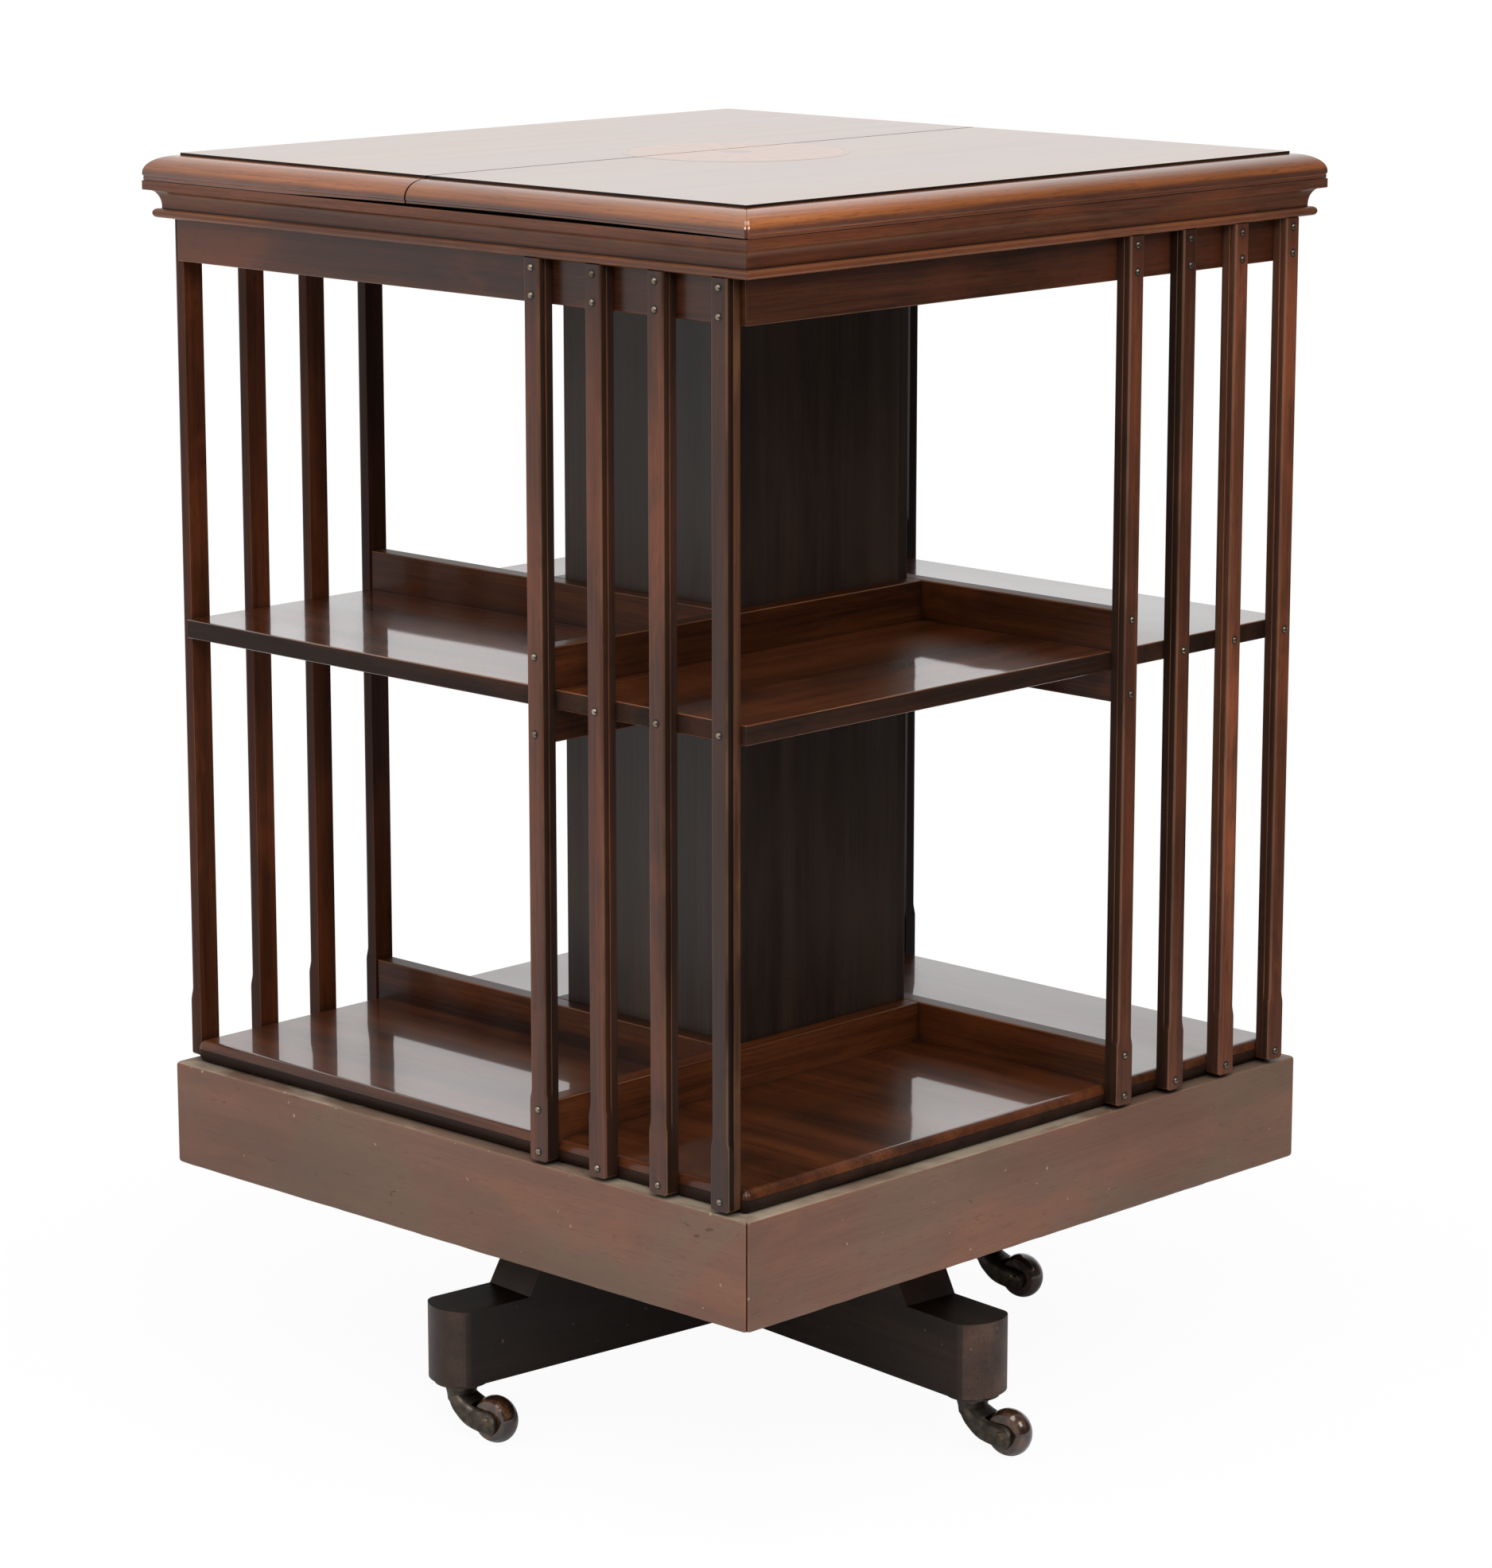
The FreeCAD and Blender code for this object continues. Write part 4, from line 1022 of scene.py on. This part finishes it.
# The arms' tones are partly painted light: the lower arm's ends are lightened.
base_arm("base_arm_lower", "base_arm_x", BASE_TURN, True, 1.65)
base_arm("base_arm_upper", "base_arm_y", BASE_TURN + pi / 2, False, 1.05)


# ---- casters ----
def curve_through(points, steps):
    """Points on a smooth line through a few (x, z) ones."""
    found = []
    count = len(points)
    for index in range(count - 1):
        p = [Vector(points[max(0, min(count - 1, index + k))]) for k in (-1, 0, 1, 2)]
        for step in range(steps):
            t = step / steps
            a = -0.5 * p[0] + 1.5 * p[1] - 1.5 * p[2] + 0.5 * p[3]
            b = p[0] - 2.5 * p[1] + 2 * p[2] - 0.5 * p[3]
            c = 0.5 * (p[2] - p[0])
            found.append(a * t**3 + b * t**2 + c * t + p[1])
    found.append(Vector(points[-1]))
    return found


def on_axle(degrees):
    """Place of a solid of revolution on the wheel's axle, its own axis turned by degrees about X."""
    turned = Matrix.Rotation(radians(degrees), 4, "X")
    return Matrix.Translation((CASTER_TRAIL, 0, WHEEL_RADIUS)) @ turned


def neck_lines():
    """(along, up) ends of the neck's sections, lower and upper, from the stem to the end of the hub."""
    outlines = []
    for points, hub in ((NECK_UNDER, WHEEL_RADIUS - HORN_CHEEK), (NECK_OVER, WHEEL_RADIUS + HORN_HUB)):
        outlines.append(curve_through([*((x * MM, z * MM) for x, z in points), (CASTER_TRAIL, hub)], 4))
    lines = list(zip(*outlines))
    before_hub = len(lines) - 1
    for degrees in (25, 50, 72, 88):
        angle = radians(degrees)
        reach = CASTER_TRAIL + HORN_HUB * sin(angle)
        low, high = HORN_CHEEK * cos(angle), HORN_HUB * cos(angle)
        lines.append((Vector((reach, WHEEL_RADIUS - low)), Vector((reach, WHEEL_RADIUS + high))))
    return lines, before_hub


def neck_blank():
    """The neck before it is forked: round at the stem, squarer and wider at the hub."""
    lines, before_hub = neck_lines()
    rings = []
    for index, (low, high) in enumerate(lines):
        share = min(1.0, index / before_hub)
        power = 2 / (2.0 + 1.6 * share)
        half = NECK_HALF + (HORN_HALF - NECK_HALF) * min(1.0, share * 2.2)
        centre, reach = (low + high) / 2, (high - low) / 2
        ring = []
        for step in range(28):
            angle = 2 * pi * step / 28
            across = copysign(abs(sin(angle)) ** power, sin(angle)) * half
            along = copysign(abs(cos(angle)) ** power, cos(angle))
            point = centre + reach * along
            ring.append((point.x, across, point.y))
        rings.append(ring)
    bm = bmesh.new()
    loft(bm, rings)
    return bm


def horn_mesh():
    """Swan neck with a forked end: the blank cut for the wheel, its edges softened."""
    gap = WHEEL_RADIUS + WHEEL_CLEARANCE
    cutter = bmesh.new()
    lathe(cutter, rectangle(0, gap, -WHEEL_SLOT, WHEEL_SLOT), 72, on_axle(90))
    things = []
    for name, bm in (("neck", neck_blank()), ("gap", cutter)):
        bmesh.ops.recalc_face_normals(bm, faces=bm.faces)
        things.append(put(name, mesh_of(bm, name)))
    blank, tool = things
    cut = blank.modifiers.new("slot", "BOOLEAN")
    cut.object = tool
    cut.operation = "DIFFERENCE"
    cut.solver = "EXACT"
    soften = blank.modifiers.new("soften", "BEVEL")
    soften.width = HORN_ARRIS
    soften.segments = 2
    soften.angle_limit = radians(50)
    shaped = bpy.data.meshes.new_from_object(blank.evaluated_get(bpy.context.evaluated_depsgraph_get()))
    for thing in things:
        bpy.data.objects.remove(thing)
    return shaped


def horn(name, node_name, body, place):
    """The swan neck under its turned head."""
    bm = bmesh.new()
    bm.from_mesh(NECK)
    lathe(bm, [(radius * MM, HORN_TOP + up * MM) for radius, up in HEAD_STEM + HEAD_RIM], 48)
    add_piece(name, bm, CASTER_BRONZE, body, (node_name,), place, False)


def wheel(name, node_name, body, place):
    """Barrel-crowned ceramic wheel with dished cheeks."""
    bm = bmesh.new()
    face = [(radius * MM, WHEEL_HALF - depth * MM) for radius, depth in WHEEL_SIDE]
    outline = list(face)
    for step in range(11):
        share = 1 - step / 5
        crown = WHEEL_RADIUS - WHEEL_CROWN * abs(share) ** 2.1
        outline.append((crown, WHEEL_HALF * 0.96 * share))
    outline += [(radius, -y) for radius, y in reversed(face)]
    lathe(bm, [*outline, outline[0]], 64, place @ on_axle(-90))
    tidy(bm)
    add_piece(name, bm, CERAMIC, body, (node_name,), smooth_flats=False)


def axle(name, node_name, body, place):
    """Riveted pin: low domes outside the cheeks."""
    bm = bmesh.new()
    dome = [(radius * MM, HORN_HALF + up * MM) for radius, up in PIN_DOME]
    profile = [*dome, *[(radius, -z) for radius, z in reversed(dome)]]
    lathe(bm, profile, 32, on_axle(-90))
    add_piece(name, bm, STEEL_DARK, body, (node_name,), place, False)


NECK = horn_mesh()
for side in SIDES:
    stem = Vector(JOINTS["caster_swivel_" + side]["pos_m"])
    axis_place = Vector(JOINTS["caster_roll_" + side]["pos_m"])
    heading = atan2(axis_place.y - stem.y, axis_place.x - stem.x)
    stance = Matrix.Translation((stem.x, stem.y, 0)) @ Matrix.Rotation(heading, 4, "Z")
    horn(side + "_caster_neck", "caster_horn_" + side, "swivel_" + side, stance)
    axle(side + "_caster_pin", "caster_axle_" + side, "swivel_" + side, stance)
    wheel(side + "_wheel", "caster_wheel_" + side, "wheel_" + side, stance)


# ---- frame nodes that stay ----
KEPT = {
    "plinth_blocks": PINE,
    "pivot_cup": BRASS,
    "guide_bush": BRASS,
    "cup_screws": STEEL,
    "base_screws": STEEL,
    "pivot_flange": IRON,
    "pivot_spindle": STEEL,
    "caster_plates": CASTER_BRONZE,
}
for node_name, finish in KEPT.items():
    kept = frame["nodes"][node_name]
    kept.data.materials.clear()
    kept.data.materials.append(finish)


# ---- camera, light and floor ----
LONG_SIDE = 1971
FOCAL_PIXELS = 6337.7
SENSOR = 36.0
CAMERA_PLACE = (2.0855, -2.1547, 1.0058)
CAMERA_DOWN = radians(12.058)
CAMERA_TURN = radians(43.952)
SKY_LEVEL = 0.42
FLOOR_WHITE = 0.95  # share of plain white in the floor by the bookcase
WHITE = (1, 1, 1, 1)
LIT_PLACE = Vector((0, 0, 0.4))

scene = bpy.context.scene
scene.view_settings.view_transform = "Standard"
camera_data = bpy.data.cameras.new("camera")
camera_data.sensor_width = SENSOR
camera_data.lens = FOCAL_PIXELS * SENSOR / LONG_SIDE
camera_data.clip_end = 100
camera = put("camera", camera_data)
camera.location = CAMERA_PLACE
camera.rotation_euler = (pi / 2 - CAMERA_DOWN, 0, CAMERA_TURN)
scene.camera = camera


def softbox(name, azimuth, elevation, distance, size, power):
    """Area light aimed at the middle of the bookcase; azimuth 0 is in front of it."""
    data = bpy.data.lights.new(name, "AREA")
    data.shape = "RECTANGLE"
    data.size, data.size_y = size
    data.energy = power
    lamp = put(name, data)
    a, e = radians(azimuth), radians(elevation)
    back = Vector((sin(a) * cos(e), -cos(a) * cos(e), sin(e)))
    lamp.location = LIT_PLACE + back * distance
    lamp.rotation_euler = back.to_track_quat("Z", "Y").to_euler()


softbox("key_softbox", 46, 37, 3.4, (0.7, 1.4), 42)
softbox("right_softbox", 96, 34, 3.4, (1.2, 1.2), 26)
softbox("left_softbox", -6, 32, 3.4, (1.4, 1.4), 32)
softbox("top_softbox", 42, 76, 2.8, (1.5, 1.5), 28)


def glow(tree, kind, strength):
    return node(tree, kind, {"Color": WHITE, "Strength": strength}).outputs[0]


def room_level(tree, way):
    """What polish shows of the room: white paper behind and to the left, a dim room to the right."""
    left = node(tree, "VectorMath", (way, (-1, 0, 0)), operation="DOT_PRODUCT").outputs["Value"]
    return remap(tree, left, -0.5, 0.45, 0.07, 1.0)


def ray_kinds(tree):
    """Camera rays, and the rays that polish, metal and glass send out."""
    rays = node(tree, "LightPath").outputs
    return rays["Is Camera Ray"], calc(tree, "MAXIMUM", rays["Is Glossy Ray"], rays["Is Transmission Ray"])


def studio_world():
    world = bpy.data.worlds.new("studio")
    scene.world = world
    world.use_nodes = True
    world.cycles.sampling_method = "NONE"
    tree = world.node_tree
    tree.nodes.clear()
    seen, mirrored = ray_kinds(tree)
    room = room_level(tree, coords(tree, "Generated"))
    soft, shown, white = (glow(tree, "Background", level) for level in (SKY_LEVEL, room, 1.0))
    lit = node(tree, "MixShader", (mirrored, soft, shown)).outputs[0]
    mixed = node(tree, "MixShader", (seen, lit, white)).outputs[0]
    node(tree, "OutputWorld", (mixed,))


def studio_floor():
    """White sweep: it keeps the bookcase's shadow close by and fades to plain white."""
    bm = bmesh.new()
    bmesh.ops.create_grid(bm, x_segments=2, y_segments=2, size=25)
    mesh = mesh_of(bm, "floor")
    floor = put("floor", mesh)
    floor.location.z = -0.1 * MM
    material, tree = new_material("floor_white")
    material.cycles.emission_sampling = "NONE"
    mesh.materials.append(material)
    place = coords(tree)
    reach = node(tree, "VectorMath", (place,), operation="LENGTH").outputs["Value"]
    way = node(tree, "VectorMath", (place,), operation="NORMALIZE").outputs[0]
    seen, mirrored = ray_kinds(tree)
    paper = node(tree, "BsdfDiffuse", {"Color": (0.86, 0.86, 0.86, 1)}).outputs[0]
    shown, white = (glow(tree, "Emission", level) for level in (room_level(tree, way), 1.0))
    far = times(tree, mirrored, remap(tree, reach, 0.4, 1.3))
    lit = node(tree, "MixShader", (far, paper, shown)).outputs[0]
    plain = times(tree, seen, remap(tree, reach, 0.3, 0.8, FLOOR_WHITE, 1.0))
    node(tree, "OutputMaterial", (node(tree, "MixShader", (plain, lit, white)).outputs[0],))


studio_world()
studio_floor()
